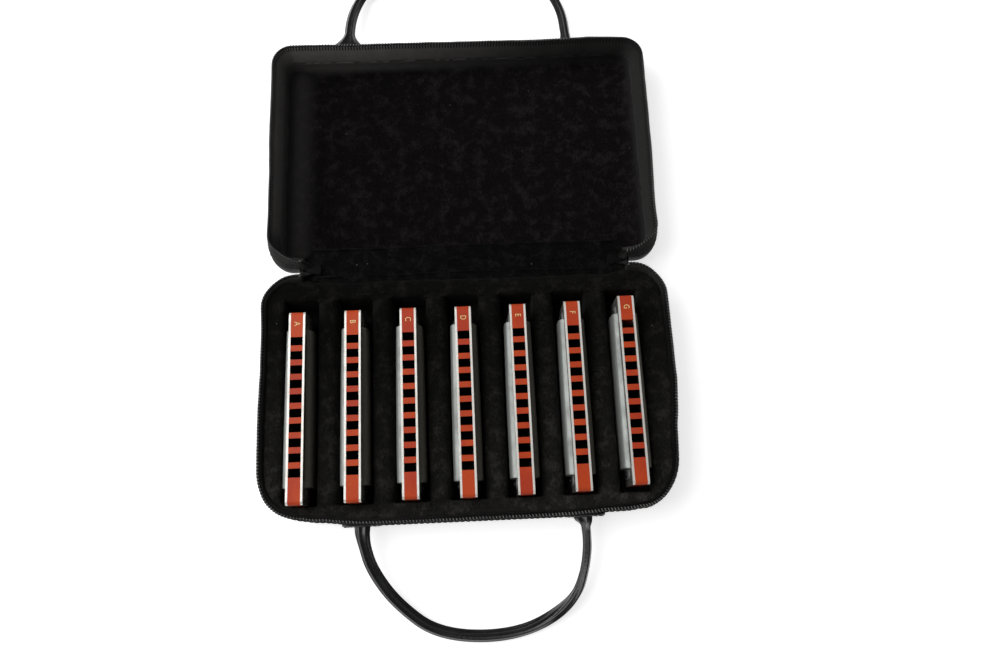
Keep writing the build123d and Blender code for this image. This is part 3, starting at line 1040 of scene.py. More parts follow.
@dataclass(frozen=True)
class Track:
    """A line in plan that the zip follows, with the outward direction at each point."""

    points: Array
    outward: Array
    gone: Array

    @property
    def length(self) -> float:
        """The whole length."""
        return float(self.gone[-1])

    def way(self, distance: Array) -> Array:
        """The outward direction at each distance along the line, level."""
        return xyz(*np.moveaxis(unit(read(distance, self.gone, self.outward)), -1, 0), 0.0)

    def carry(self, distance: Array, inset: ArrayLike, height: ArrayLike) -> Array:
        """Points in space at distances along the line, insets from it and heights."""
        place = xyz(*np.moveaxis(read(distance, self.gone, self.points), -1, 0), height)
        return place - np.asarray(inset)[..., None] * self.way(distance)


class Half(Enum):
    """One half of the opened case: its body's name, the prefix of its nodes and the side of its hinge."""

    BASE = ("case_base", "base", 1)
    LID = ("lid", "lid", -1)

    def __init__(self, body: str, prefix: str, hinge_side: int) -> None:
        """Keeps the three; the side is +1 where the hinge is at this half's larger y, and else -1."""
        self.body, self.prefix, self.hinge_side = body, prefix, hinge_side

    def footprint(self) -> Footprint:
        """The shell's outline in plan, from its packed box."""
        low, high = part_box(f"{self.prefix}_shell")
        middle = (low[1] + high[1]) / 2 / MM
        return Footprint(middle, (high[0] - low[0]) / 2 / MM, (high[1] - low[1]) / 2 / MM, CORNERS[self])

    def zip_track(self, start_x: float) -> Track:
        """The shell's outline from one end of the zip round its three open sides to the other.

        Args:
            start_x: how far from the middle of the hinge side the zip starts.

        Returns:
            The track, which starts on the left.
        """
        shape, flip = self.footprint(), (1.0, self.hinge_side)
        turned = shape.radii if self is Half.BASE else [shape.radii[i] for i in (1, 0, 3, 2)]
        outline = np.stack(rounded_rectangle(shape.half_x, shape.half_y, turned, steps=40), axis=1)
        on_hinge = outline[:, 0, 1] >= shape.half_y - 1e-6
        from_middle = np.abs(outline[:, 0, 0])
        first = int(np.argmin(from_middle + 1000.0 * ~on_hinge))
        outline = np.roll(outline, -first, axis=0)[np.roll(~(on_hinge & (from_middle < start_x)), -first)]
        left, right = ([[(x, shape.half_y), LIDWARD[:2]]] for x in (-start_x, start_x))
        points, outward = np.moveaxis(np.concatenate([left, outline, right]), 1, 0)
        points = points * flip + (0.0, shape.middle_y)
        return Track(points, outward * flip, travelled(points))

    def draw(self, points: Array) -> Array:
        """Draws the two hinge-side corners towards the spine, where the ends of the zip pull them together.

        Args:
            points: points of this half, in millimetres.

        Returns:
            The points after the pull and the lean.
        """
        x, away, z = np.abs(points[..., 0]), np.abs(points[..., 1]) - 7.0, points[..., 2]
        if self is Half.LID:
            size = np.interp(z, (0.0, 3.0, 8.0, 13.0, 18.0, 24.0), (1.0, 3.5, 4.7, 4.6, 4.6, 5.0))
            back = np.interp(z, (13.0, 24.0), (0.0, 1.0)) * ease((x - 90.0) / 15.0)
            fade = 1.0 - ease(away / 40.0)
        else:
            size = np.interp(z, (12.0, 18.0, 24.0), (0.0, 1.8, 3.2))
            back = ease((x - 90.0) / 19.0)
            fade = 1.0 - ease(away / 16.0)
        moved = points.copy()
        moved[..., 1] += self.hinge_side * size * ease((x - 79.0) / 9.0) * (1.0 - back) * fade
        return moved + self.lean(points)

    def lean(self, points: Array) -> Array:
        """How far the soft walls lean out of line: along x by tables over y, along y by one over x.

        Args:
            points: points of this half, in millimetres.

        Returns:
            The shift of each of them.
        """
        x, y, z = np.moveaxis(points, -1, 0)
        left, right, edge = LEANS[self]
        sides = np.where(x < 0.0, -np.interp(y, *left), np.interp(y, *right)) * ease((np.abs(x) - 86.0) / 14.0)
        along = np.interp(x, *edge) * ease((np.abs(y) - 104.0) / 26.0)
        return xyz(sides * ease((z - 15.0) / 8.0), along, 0.0)


CORNERS = {Half.BASE: (30.0, 15.0, 15.0, 30.0), Half.LID: (12.5,) * 4}
LEANS: dict[Half, Sequence[Sequence[tuple[float, ...]]]] = {
    Half.BASE: (
        ((-139.0, -128.0, -100.0, -40.0, -15.0), (0.5, 1.2, 1.6, 1.4, 2.0)),
        ((-139.0, -113.0, -97.0, -85.0, -70.0, -30.0, -12.0), (-0.3, -1.5, -0.6, 0.8, 1.8, 1.5, 1.2)),
        (
            (-105.0, -98.0, -92.0, -86.0, -77.0, -66.0, -60.0, -50.0, 50.0, 61.0, 67.0, 86.0, 92.0, 100.0),
            (-0.8, 0.5, 2.0, 3.0, 2.7, 1.3, 0.6, 0.2, 0.1, 0.9, 1.7, 2.0, 0.6, 0.0),
        ),
    ),
    Half.LID: (
        ((7.0, 139.0), (0.3, 0.3)),
        ((20.0, 40.0, 60.0, 139.0), (0.0, 0.3, 1.1, 1.6)),
        ((-100.0, -78.0, -62.0, 62.0, 78.0, 105.0), (0.2, 0.3, 0.0, 0.0, 0.8, 0.0)),
    ),
}
TAPE_CLOTHS: dict[Half, Finish] = {Half.BASE: BASE_TAPE, Half.LID: LID_TAPE_PAINTED_LIGHT}
TAPE_SECTIONS: dict[Half, Pairs] = {
    Half.BASE: (
        (3.7, 17.0), (3.45, 19.0), (3.15, 20.8), (2.9, 22.2), (2.6, 23.2), (2.2, 23.9), (0.9, 24.0), (0.7, 22.6),
        (0.4, 21.0), (0.1, 19.6), (-0.25, 18.2), (-0.42, 16.8), (-0.42, 15.2), (0.1, 14.4), (1.6, 14.6), (2.9, 16.2),
    ),
    Half.LID: (
        (5.9, 13.6), (5.75, 14.8), (5.3, 16.4), (4.6, 18.4), (3.9, 20.2), (3.1, 21.8), (2.5, 23.0), (2.1, 23.9),
        (0.9, 24.0), (0.7, 22.4), (0.25, 20.6), (-0.15, 19.2), (-0.42, 17.6), (-0.45, 16.0), (-0.42, 14.7),
        (0.1, 14.3), (1.6, 14.2), (4.4, 13.3),
    ),
}
COIL_INSETS: dict[Half, float] = {Half.BASE: 0.8, Half.LID: 1.3}


@dataclass
class Shell:
    """The moulded foam shell of one half: a flat bottom, a rolled lower edge and a slightly bulged wall."""

    half: Half
    seam_height: float = 18.0
    wall: float = 3.0
    bottom_radius: float = 9.0
    bulge: float = 0.3
    seed: int = 3

    def profile(self) -> Array:
        """Insets and heights from the middle of the underside, up the outside, over the rim and down inside."""
        turn = np.linspace(0.0, np.pi / 2, 11)
        roll = self.bottom_radius * (1 - np.column_stack([np.sin(turn), np.cos(turn)]))
        up = np.linspace(self.bottom_radius, self.seam_height - 0.8, 7)[1:]
        share = (up - self.bottom_radius) / (self.seam_height - self.bottom_radius)
        side = np.column_stack([-self.bulge * np.sin(np.pi * share), up])
        flat = [(inset, 0.0) for inset in (66.0, 52.0, 38.0, 24.0, 15.0, 11.0)]
        rim = [(0.25, 17.7), (0.8, 18.0), (self.wall - 0.6, 18.0), (self.wall, 17.6)]
        inside = [(self.wall, 12.0), (self.wall, 8.0), (4.6, 4.6), (8.0, 3.0), (30.0, 3.0), (66.0, 3.0)]
        return np.concatenate([flat, roll, side, rim, inside])

    def build(self) -> None:
        """Builds the shell with faint dents and dresses it in woven nylon."""
        shape = self.half.footprint()
        points = shape.rings(np.minimum(self.profile(), (shape.half_y, np.inf)))
        dents = clouds(points, self.seed, (0.22, 34.0), (0.07, 11.0))
        depth = ease((points[..., 2] - 0.4) / 3.0) * ease((17.9 - points[..., 2]) / 2.0)
        outward = unit(points - (0.0, shape.middle_y, 11.0))
        points = self.half.draw(points + (dents * depth)[..., None] * outward)
        node = f"{self.half.prefix}_shell"
        make(f"{node}_skin", ringed(points), SHELL_CLOTH, "shell_fabric", self.half.body, node)


@dataclass
class Zip:
    """One half of the zip: a woven tape sewn to the shell's rim, and the nylon coil on its edge."""

    half: Half
    start_x: float = 89.0
    coil_width: float = 1.25
    coil_height: float = 1.15
    coil_level: float = 24.25
    wire: tuple[float, float] = (0.44, 0.5)
    core: tuple[float, float] = (1.15, 0.3)
    turn_steps: int = 10
    seed: int = 11

    def sway(self, distance: Array) -> Array:
        """How far the sewn edge wanders in and out, for each distance along the zip."""
        return clouds(xyz(distance, 0.0, 0.0), self.seed, (0.28, 21.0), (0.1, 6.0))

    def rise(self, distance: Array) -> Array:
        """How far the edge wanders up and down, for each distance along the zip."""
        return 0.15 * line_noise(distance, 30.0, self.seed + 5)

    def tape(self, track: Track) -> MappedSolid:
        """Carries the tape's section along the zip's line, with puckers along its sewn edge."""
        distance = np.linspace(0.0, track.length, 460)
        inset, height = np.array(TAPE_SECTIONS[self.half]).T
        along = np.broadcast_to(distance[:, None], (len(distance), len(inset)))
        free = ease((height - 17.0) / 7.0)
        pucker = 0.12 * noise(xyz(along, height, 0.0), 2.6, 7)
        inset = inset + self.sway(along) * free + pucker
        return loft(self.half.draw(track.carry(along, inset, height + self.rise(along) * free)), distance)

    def coil(self, track: Track) -> Solid:
        """Winds the coil: a flat helix whose turns stand side by side along the tape's edge, round a core."""
        inset = COIL_INSETS[self.half]
        steps = np.arange(int(track.length / COIL_PITCH) * self.turn_steps + 1)
        distance = np.clip(0.3 + steps / self.turn_steps * COIL_PITCH, 0.0, track.length)
        turn = steps * 2 * np.pi / self.turn_steps
        out = inset + self.coil_width / 2 * power(np.cos(turn), 0.7) + self.sway(distance)
        height = self.coil_level + (self.coil_height / 2 - 0.24) * np.sin(turn) + self.rise(distance)
        line = self.half.draw(track.carry(distance, out, height))
        ahead, way = directions(line), track.way(distance)
        above = unit(np.cross(ahead, xyz(-way[:, 1], way[:, 0], 0.0)))
        winding = tube(line, unit(np.cross(above, ahead)), above, oval(*self.wire, 6))
        every = distance[::5]
        core = self.half.draw(track.carry(every, inset + self.sway(every), self.coil_level))
        heart = tube(core, unit(np.cross(directions(core), UPWARD)), UPWARD, oval(*self.core, 6))
        return gather([winding, heart])

    def seams(self, track: Track) -> Solid:
        """Sews the tape to the shell with a straight row of stitches and, above it, a row of upright ones."""
        distance = np.arange(1.0, track.length - 1.0, 1.5)
        rows = []
        for inset, height, *thread in ((-0.46, 15.4, 3.0, 2.5, 0.45), (-0.30, 18.3, COIL_PITCH, 3.0, 0.45, True)):
            line = self.half.draw(track.carry(distance, inset, height))
            rows.append(stitches(line, track.way(distance), *thread))
        return gather(rows)

    def build(self) -> None:
        """Builds the tape, the coil and the seams."""
        track, body, name = self.half.zip_track(self.start_x), self.half.body, f"{self.half.prefix}_zip"
        make(f"{name}_tape_cloth", self.tape(track), TAPE_CLOTHS[self.half], "zip_tape", body, f"{name}_tape")
        make(f"{name}_coil_turns", self.coil(track), COIL_NYLON_PAINTED_HIGHLIGHT, "zip_coil", body, f"{name}_coil")
        make(f"{name}_stitches", self.seams(track), THREAD, "zip_tape", body)


# ======== velvet
@dataclass
class Tray:
    """The foam tray wrapped in velvet: seven slots side by side between plump dividers.

    The depth is the product of two profiles, across and along the slots, from 0 on top to 1 below.
    """

    centres: tuple[float, ...] = tuple(MIDDLE_SLOT_X + SLOT_PITCH * (i - 3) for i in range(len(NOTES)))
    slot_half: float = 8.8
    well_y: tuple[float, float] = (-128.5, -19.0)
    floor: float = 5.0
    border_top: float = 22.0
    divider_top: float = 23.2
    divider_edge: float = 4.5
    border_edge: float = 2.6
    near_edge: float = 1.3
    across_limits: tuple[float, float] = (-103.0, 101.0)
    along_limits: tuple[float, float] = (-133.5, -14.0)
    seed: int = 23

    def wall(self, edge: float) -> Array:
        """One slot wall, from its foot up to its rounded edge.

        Args:
            edge: the radius of that edge.

        Returns:
            Distances outwards from the slot and depths from 1 to 0.
        """
        reach = edge / (self.border_top - self.floor)
        foot = [(-1.6, 1.0), (-0.8, 0.985), (-0.25, 0.94)]
        upright = [(-0.25 + 0.3 * t, 0.94 - (0.94 - reach) * t) for t in (0.15, 0.35, 0.55, 0.75, 0.9, 1.0)]
        turn = np.linspace(0.0, np.pi / 2, 8)[1:]
        arc = [(0.05 + edge * (1 - math.cos(t)), reach * (1 - math.sin(t))) for t in turn]
        return np.array(foot + upright + arc)

    def across(self) -> tuple[Array, Array]:
        """The profile across the slots: places along x and depths from 0 to 1."""
        last = len(self.centres) - 1
        rows = [[(self.across_limits[0], 0.0)]]
        for number, centre in enumerate(self.centres):
            left, right = (
                self.wall(self.border_edge if number == end else self.divider_edge) for end in (0, last)
            )
            rows.append(np.array([centre - self.slot_half, 0.0]) + left[::-1] * (-1.0, 1.0))
            rows.append([(centre + step, 1.0) for step in (-4.2, -1.4, 1.4, 4.2)])
            rows.append(np.array([centre + self.slot_half, 0.0]) + right)
            if number < last:
                rows.append([(centre + SLOT_PITCH / 2, 0.0)])
        places, depths = np.concatenate([*rows, [(self.across_limits[1], 0.0)]]).T
        return places, depths

    def lengthwise(self) -> tuple[Array, Array]:
        """The profile along the slots: places along y and depths from 0 to 1."""
        (low, high), (first, last) = self.well_y, self.along_limits
        near, far = self.wall(self.near_edge)[::-1] * (-1.0, 1.0), self.wall(self.border_edge)
        inside = xyz(np.linspace(low + 2.4, high - 2.4, 66), 1.0, 0.0)[:, :2]
        beyond = [(last - 1.6, 0.0), (last - 0.8, 0.0), (last, 0.0)]
        rows = [[(first, 0.0)], np.array([low, 0.0]) + near, inside, np.array([high, 0.0]) + far, beyond]
        places, depths = np.concatenate(rows).T
        return places, depths

    def top(self, x: Array, y: Array) -> Array:
        """The uncut top's height: the border, the dividers' arched crowns with a dip at each end, and a swell.

        Args:
            x: places along x.
            y: places along y.

        Returns:
            The height at each of them.
        """
        middles = np.array(self.centres[:-1]) + SLOT_PITCH / 2
        lean = 0.5 * noise(xyz(np.round(x / SLOT_PITCH), y / 16.0, 0.0), 1.0, self.seed)
        apart = np.abs(x[..., None] + lean[..., None] - middles).min(axis=-1)
        arch = root(1.0 - (apart / 6.6) ** 2)
        low, high = self.well_y
        nose = ease((y - low + 1.0) / 3.5) * ease((high + 0.8 - y) / 3.5)
        dip = np.exp(-(((y - high - 1.9) / 1.1) ** 2)) + 0.7 * np.exp(-(((y - low + 1.6) / 1.1) ** 2))
        height = self.border_top + (self.divider_top - self.border_top) * arch * nose - 0.55 * dip * arch
        return height + clouds(xyz(x, y, 0.0), self.seed + 1, (0.30, 23.0), (0.14, 6.5), (0.05, 2.1))

    def tuck(self, places: Array) -> Array:
        """Rounds the two near corners in plan, so that they stay inside the shell's own corners.

        Args:
            places: points in plan.

        Returns:
            The points after the tuck.
        """
        apart = np.maximum(np.stack([np.abs(places[..., 0]) - 83.5, -113.0 - places[..., 1]], axis=-1), 0.0)
        gone = np.linalg.norm(apart, axis=-1)
        kept = np.where(gone > 19.0, 19.0 + (gone - 19.0) * 0.28, gone)
        shorter = apart * (1.0 - kept / np.maximum(gone, 1e-9))[..., None]
        return places - shorter * np.stack([np.sign(places[..., 0]), np.full(places.shape[:-1], -1.0)], axis=-1)

    def build(self) -> None:
        """Builds the whole tray as one closed piece and dresses it in velvet."""
        (xs, across), (ys, along) = self.across(), self.lengthwise()
        x, y = np.meshgrid(xs, ys, indexing="ij")
        across = across[:, None]
        cut = across * along
        place = xyz(x, y, 40.0 * cut)
        wobble = clouds(place, self.seed + 4, (0.28, 17.0), (0.10, 4.0))
        sideways = wobble * (4.0 * across * (1.0 - across)) * along
        lengthways = 0.5 * wobble * 4.0 * along * (1.0 - along)
        top = self.top(x, y)
        height = top - (top - self.floor - 0.15 * noise(place, 9.0, self.seed + 6)) * cut
        crown = xyz(x + sideways, y + lengthways, height)
        crown[..., :2] = self.tuck(crown[..., :2])
        rim, plan = (
            np.concatenate([grid[:-1, 0], grid[-1, :-1], grid[:0:-1, -1], grid[0, :0:-1]])
            for grid in (crown, np.stack([x, y], axis=-1))
        )
        slotted = (crown, quads(*crown.shape[:2]))
        shape = gather([slotted, ringed(self.border(rim, plan))])
        nodes = (f"base_tray_{part}" for part in ("floor", "border", "dividers"))
        piece = make("tray_velvet", shape, TRAY_VELVET, "velvet", Half.BASE.body, *nodes)

    def border(self, rim: Array, plan: Array) -> Array:
        """Closes the tray round the slots: out to the shell, down beside it and in underneath.

        The top rolls down on its way to the shell's outline, further and lower on the hinge side.

        Args:
            rim: the edge of the slotted part, anticlockwise seen from above.
            plan: the same edge on the rectangle that it was laid out on.

        Returns:
            Rings of points, from the rim on.
        """
        shape = Half.BASE.footprint()
        half = np.array([shape.half_x, shape.half_y]) - 2.4
        middle = np.array([0.0, shape.middle_y])
        low, high = np.array([self.across_limits, self.along_limits]).T
        square = ((plan - low) / (high - low) * 2.0 - 1.0) * half
        corner = (np.where(square[:, 1] < 0.0, shape.radii[0], shape.radii[1]) - 2.4)[:, None]
        over = np.maximum(np.abs(square) - (half - corner), 0.0) / corner
        girth = np.linalg.norm(over, axis=1)
        pulled = np.where(girth > 1e-9, over.max(axis=1) / np.maximum(girth, 1e-9), 1.0)
        base = np.minimum(np.abs(square), half - corner)
        outline = np.sign(square) * (base + over * pulled[:, None] * corner) + middle
        outline = Half.BASE.draw(xyz(*outline.T, self.border_top))[:, :2]
        hinge = ease((outline[:, 1] + 18.0) / 6.0) * ease((84.0 - np.abs(outline[:, 0])) / 6.0)
        rings = [rim]
        for step in (0.2, 0.4, 0.6, 0.8, 0.9, 0.96, 1.0):
            place = rim[:, :2] + (outline - rim[:, :2]) * step
            place[:, 1] += 1.6 * hinge * step**3
            level = rim[:, 2] + (self.top(*place.T) - rim[:, 2]) * min(1.0, step * 3)
            rings.append(xyz(*place.T, level - 0.9 * ease(np.array((step - 0.75) / 0.25)) - 2.2 * hinge * step**3))
        inward, apart = unit(middle - outline), np.linalg.norm(middle - outline, axis=1, keepdims=True)
        for inset, height in ((0.1, 19.0), (0.3, 12.0), (3.0, 6.0), (9.0, 4.2), (30.0, 4.2), (55.0, 4.2)):
            place = outline + inward * np.minimum(inset, 0.98 * apart)
            rings.append(xyz(*place.T, np.minimum(height, rings[-1][:, 2])))
        rings.append(np.broadcast_to(np.array([*middle, 4.2]), rim.shape))
        return np.array(rings)


@dataclass
class LidLining:
    """The lid's velvet lining: a flat, slightly cushioned panel that turns up all round to the zip tape."""

    floor: float = 4.6
    fillet: float = 6.0
    level_insets: tuple[float, ...] = (66.0, 58.0, 50.0, 43.0, 37.0, 31.0, 26.0, 22.0, 19.0, 16.5, 14.3, 12.9)
    seed: int = 41

    def build(self) -> None:
        """Builds the lining as rings from the middle out, which turn up to the spine and under the tape."""
        shape = Half.LID.footprint()
        turn = np.linspace(0.0, np.pi / 2, 9)[1:]
        level = [(min(inset, shape.half_y), self.floor) for inset in self.level_insets]
        roll = (6.0, self.floor) + self.fillet * (1 - np.column_stack([np.sin(turn), np.cos(turn)]))
        front = np.concatenate([level, roll, [(5.95, 12.4), (5.85, 14.2)]])
        points = shape.rings(front)
        hinge = ease((24.0 - points[..., 1]) / 6.0) * ease((92.0 - np.abs(points[..., 0])) / 5.0)
        rise = ease((points[..., 2] - self.floor) / (14.2 - self.floor))
        points[..., 2] += hinge * rise * 3.9
        points[..., 1] -= hinge * rise * 2.4
        puff = clouds(points, self.seed, (0.35, 38.0), (0.16, 9.0), (0.05, 3.0))
        inside = ease((front[:, 0] - 5.9) / 8.0)[:, None]
        points[..., 2] += puff * (0.3 + 0.7 * inside)
        back = points.copy()
        outward = unit(points - (0.0, shape.middle_y, 0.0))
        back[..., :2] += outward[..., :2] * (1.0 - inside[..., None]) * 0.9
        back[..., 2] -= 0.95 * inside
        sheet = ringed(Half.LID.draw(np.concatenate([points, back[::-1]])))
        piece = make("lid_lining_velvet", sheet, LINING_VELVET, "velvet", Half.LID.body, "lid_lining")


@dataclass
class Spine:
    """The fabric spine: a wrinkled lining inside, a woven cover outside and a welt along each edge."""

    lining_half: float = 92.0
    cover_half: float = 79.0
    cover_width: float = 12.4
    fold_level: float = 0.018
    cover_path: Pairs = (
        (0.0, 17.5), (2.0, 17.5), (4.5, 17.5), (6.3, 17.4), (6.6, 15.5), (6.7, 13.5), (6.75, 11.5),
    )
    seed: int = 57

    def lining_height(self, x: Array, y: Array) -> Array:
        """The lining's height: creases along and across it, and a step up where it laps onto the tray."""
        creases = clouds(xyz(x, y * 2.6, 0.0), self.seed, (0.55, 15.0), (0.30, 5.2))
        ridges = 1.0 - 2.0 * np.abs(noise(xyz(x + 2.0 * y, y * 1.2, 0.0), 9.0, self.seed + 2))
        return 18.7 + creases * 0.8 + ridges * 0.28 + 1.05 * ease((-4.3 - y) / 1.1)

    def lining(self, low: float, high: float) -> Solid:
        """One half of the lining, from one y to another, as a thin closed sheet with uneven ends."""
        across, along = np.meshgrid(np.linspace(-1.0, 1.0, 301), np.linspace(low, high, 27), indexing="ij")
        x = across * (self.lining_half + 0.5 * line_noise(along, 3.0, self.seed + 4) * np.sign(across))
        height = self.lining_height(x, along) - 0.8 * ease((np.abs(across) - 0.95) / 0.05)
        front = xyz(x, along * (1.0 - 0.36 * ease((np.abs(x) - 83.0) / 6.0)), height)
        return closed_sheet(front, front - (0.0, 0.0, 0.5))

    def cover(self, side: int) -> Solid:
        """One half of the outer cover: level from the middle to the fold, then down the wall it is glued to."""
        path = resample(cut_corners(np.array(self.cover_path), 5), 27)
        ahead = directions(path)
        x = np.linspace(-self.cover_half, self.cover_half, 201)[:, None]
        sheets = []
        for line in (path, path + 0.45 * np.column_stack([ahead[:, 1], -ahead[:, 0]])):
            flat = xyz(x, side * line[:, 0], 0.0)
            dents = 0.12 * noise(flat, 12.0, self.seed + 6) * ease((line[:, 1] - 16.0) / 1.4)
            sheets.append(xyz(flat[..., 0], flat[..., 1], line[:, 1] + dents))
        return closed_sheet(*sheets)

    def welt(self, y: float, level: float, half_length: float, width: float = 1.3) -> Solid:
        """A turned and sewn edge along the spine: a thin uneven roll.

        Args:
            y: where it runs.
            level: its height.
            half_length: half its length.
            width: its thickness.

        Returns:
            Its points and faces.
        """
        x, seed = np.linspace(-half_length, half_length, 301), self.seed + 9
        line = xyz(x, y + 0.5 * line_noise(x, 18.0, seed), level + 0.25 * line_noise(x, 11.0, seed + 1))
        beside = unit(np.cross(UPWARD, directions(line)))
        ends = root(1.0 - (np.abs(x) / (half_length + 0.01)) ** 40, 0.05)
        size = (1.0 + 0.25 * line_noise(x, 5.0, seed + 2)) * ends
        return tube(line, beside, UPWARD, sized(oval(width, 0.75 * width, 8), size, size))

    def build(self) -> None:
        """Builds the four strips and the two welts, each with its own fold."""
        facts = (
            ("base", -1, (-10.4, 0.0), (-4.7, 19.5, 82.0), (Half.BASE.body, "spine"), (-8.2, -5.6), (-6.7, -4.4)),
            ("lid", 1, (0.0, 11.6), (11.2, 18.7, 86.0), ("spine", Half.LID.body), (5.6, 8.2), (4.4, 6.7)),
        )
        for side, way, edges, seam, bodies, *folds in facts:
            inner, outer = (Fold(*bodies, *((0.0, y * MM, self.fold_level) for y in fold)) for fold in folds)
            names = (f"spine_{part}_{side}_side" for part in ("lining", "cover", "welt"))
            shapes = zip(names, (self.lining(*edges), self.cover(way), self.welt(*seam)))
            lining = make(*next(shapes), SPINE_VELVET, "velvet", inner, "spine_lining")
            cover = make(*next(shapes), SHELL_CLOTH, "shell_fabric", outer, "spine_cover")
            make(*next(shapes), SPINE_VELVET, "velvet", inner)


# ======== zip ends and sliders
@dataclass
class ZipEnds:
    """What leads the zip onto the spine at each end: a ribbon of tape with the last teeth, down to the slider."""

    path: tuple[Spot, ...] = (
        (90.6, 1.0, 24.0), (88.8, 1.0, 23.7), (87.2, 0.86, 22.4), (85.8, 0.62, 20.6), (84.6, 0.4, 19.2),
        (83.2, 0.22, 18.6),
    )
    steps: int = 30

    def ribbon(self, side: int, half: Half) -> None:
        """Builds one ribbon and its row of teeth, bent between its half of the case and the spine.

        Args:
            side: -1 for the left end, +1 for the right.
            half: the half that the ribbon comes from.
        """
        away = -half.hinge_side
        turn = side * away
        start_y = 5.05 if half is Half.BASE else 3.35
        controls = np.array(self.path) * (side, away * start_y, 1.0)
        line = resample(cut_corners(controls, 5), self.steps)
        ahead = directions(line)
        lean = unit(unit(np.cross(ahead, UPWARD)) * -turn - (0.0, 0.0, 0.9))
        above = unit(np.cross(ahead, lean)) * turn
        share = np.linspace(0.0, 1.0, len(line))
        section = sized(oval(1.0, 0.6, 12, 3.0), 5.6 - 1.6 * share, 1.0)
        section[..., 0] += (2.6 - 0.8 * share)[:, None]
        place = even_steps(line, 1.0)
        out = unit(read(np.linspace(0, 1, len(place)), share, lean))
        way = directions(place)
        up = unit(np.cross(way, out)) * turn
        teeth = repeat(self.tooth(), out, way, up, place + 0.25 * up)
        start, end = (side * 0.0888, away * start_y * MM, 0.0237), (side * 0.0842, away * 0.0014, 0.0190)
        fold = Fold(half.body, "spine", start, end) if half is Half.BASE else Fold("spine", half.body, end, start)
        name = f"zip_end_{half.prefix}_{'left' if side < 0 else 'right'}"
        make(name, tube(line, lean, above, section), TAPE_PLAIN, "zip_tape", fold)
        make(f"{name}_teeth", teeth, COIL_NYLON_PAINTED_HIGHLIGHT, "zip_coil", fold)

    def tooth(self) -> Solid:
        """One turn of the coil seen as a plump bar, 2 mm long, across the tape's edge."""
        return plump_bar(2.0, 0.72, 0.84, 5, 0.02)

    def chain(self, side: int) -> Solid:
        """The last closed length of zip under one slider: two interlocked rows on a strip of tape."""
        x = np.linspace(78.4, 86.4, 8)
        rows = [
            repeat(self.tooth(), LIDWARD, RIGHTWARD, UPWARD, xyz(side * (x + shift), y, 18.25))
            for y, shift in ((-0.75, 0.0), (0.75, 0.55))
        ]
        strip = xyz(side * np.linspace(77.6, 87.0, 14), 0.0, 17.75)
        return gather([*rows, tube(strip, LIDWARD, UPWARD, oval(9.4, 0.6, 24, 5.0))])

    def build(self) -> None:
        """Builds the four ribbons and the stacked chain under the sliders."""
        for side, half in itertools.product(SIDES, Half):
            self.ribbon(side, half)
        chains = gather([self.chain(side) for side in SIDES])
        make("zip_chain_closed_ends", chains, COIL_NYLON_PAINTED_HIGHLIGHT, "zip_coil", "spine", "zip_chain_ends")


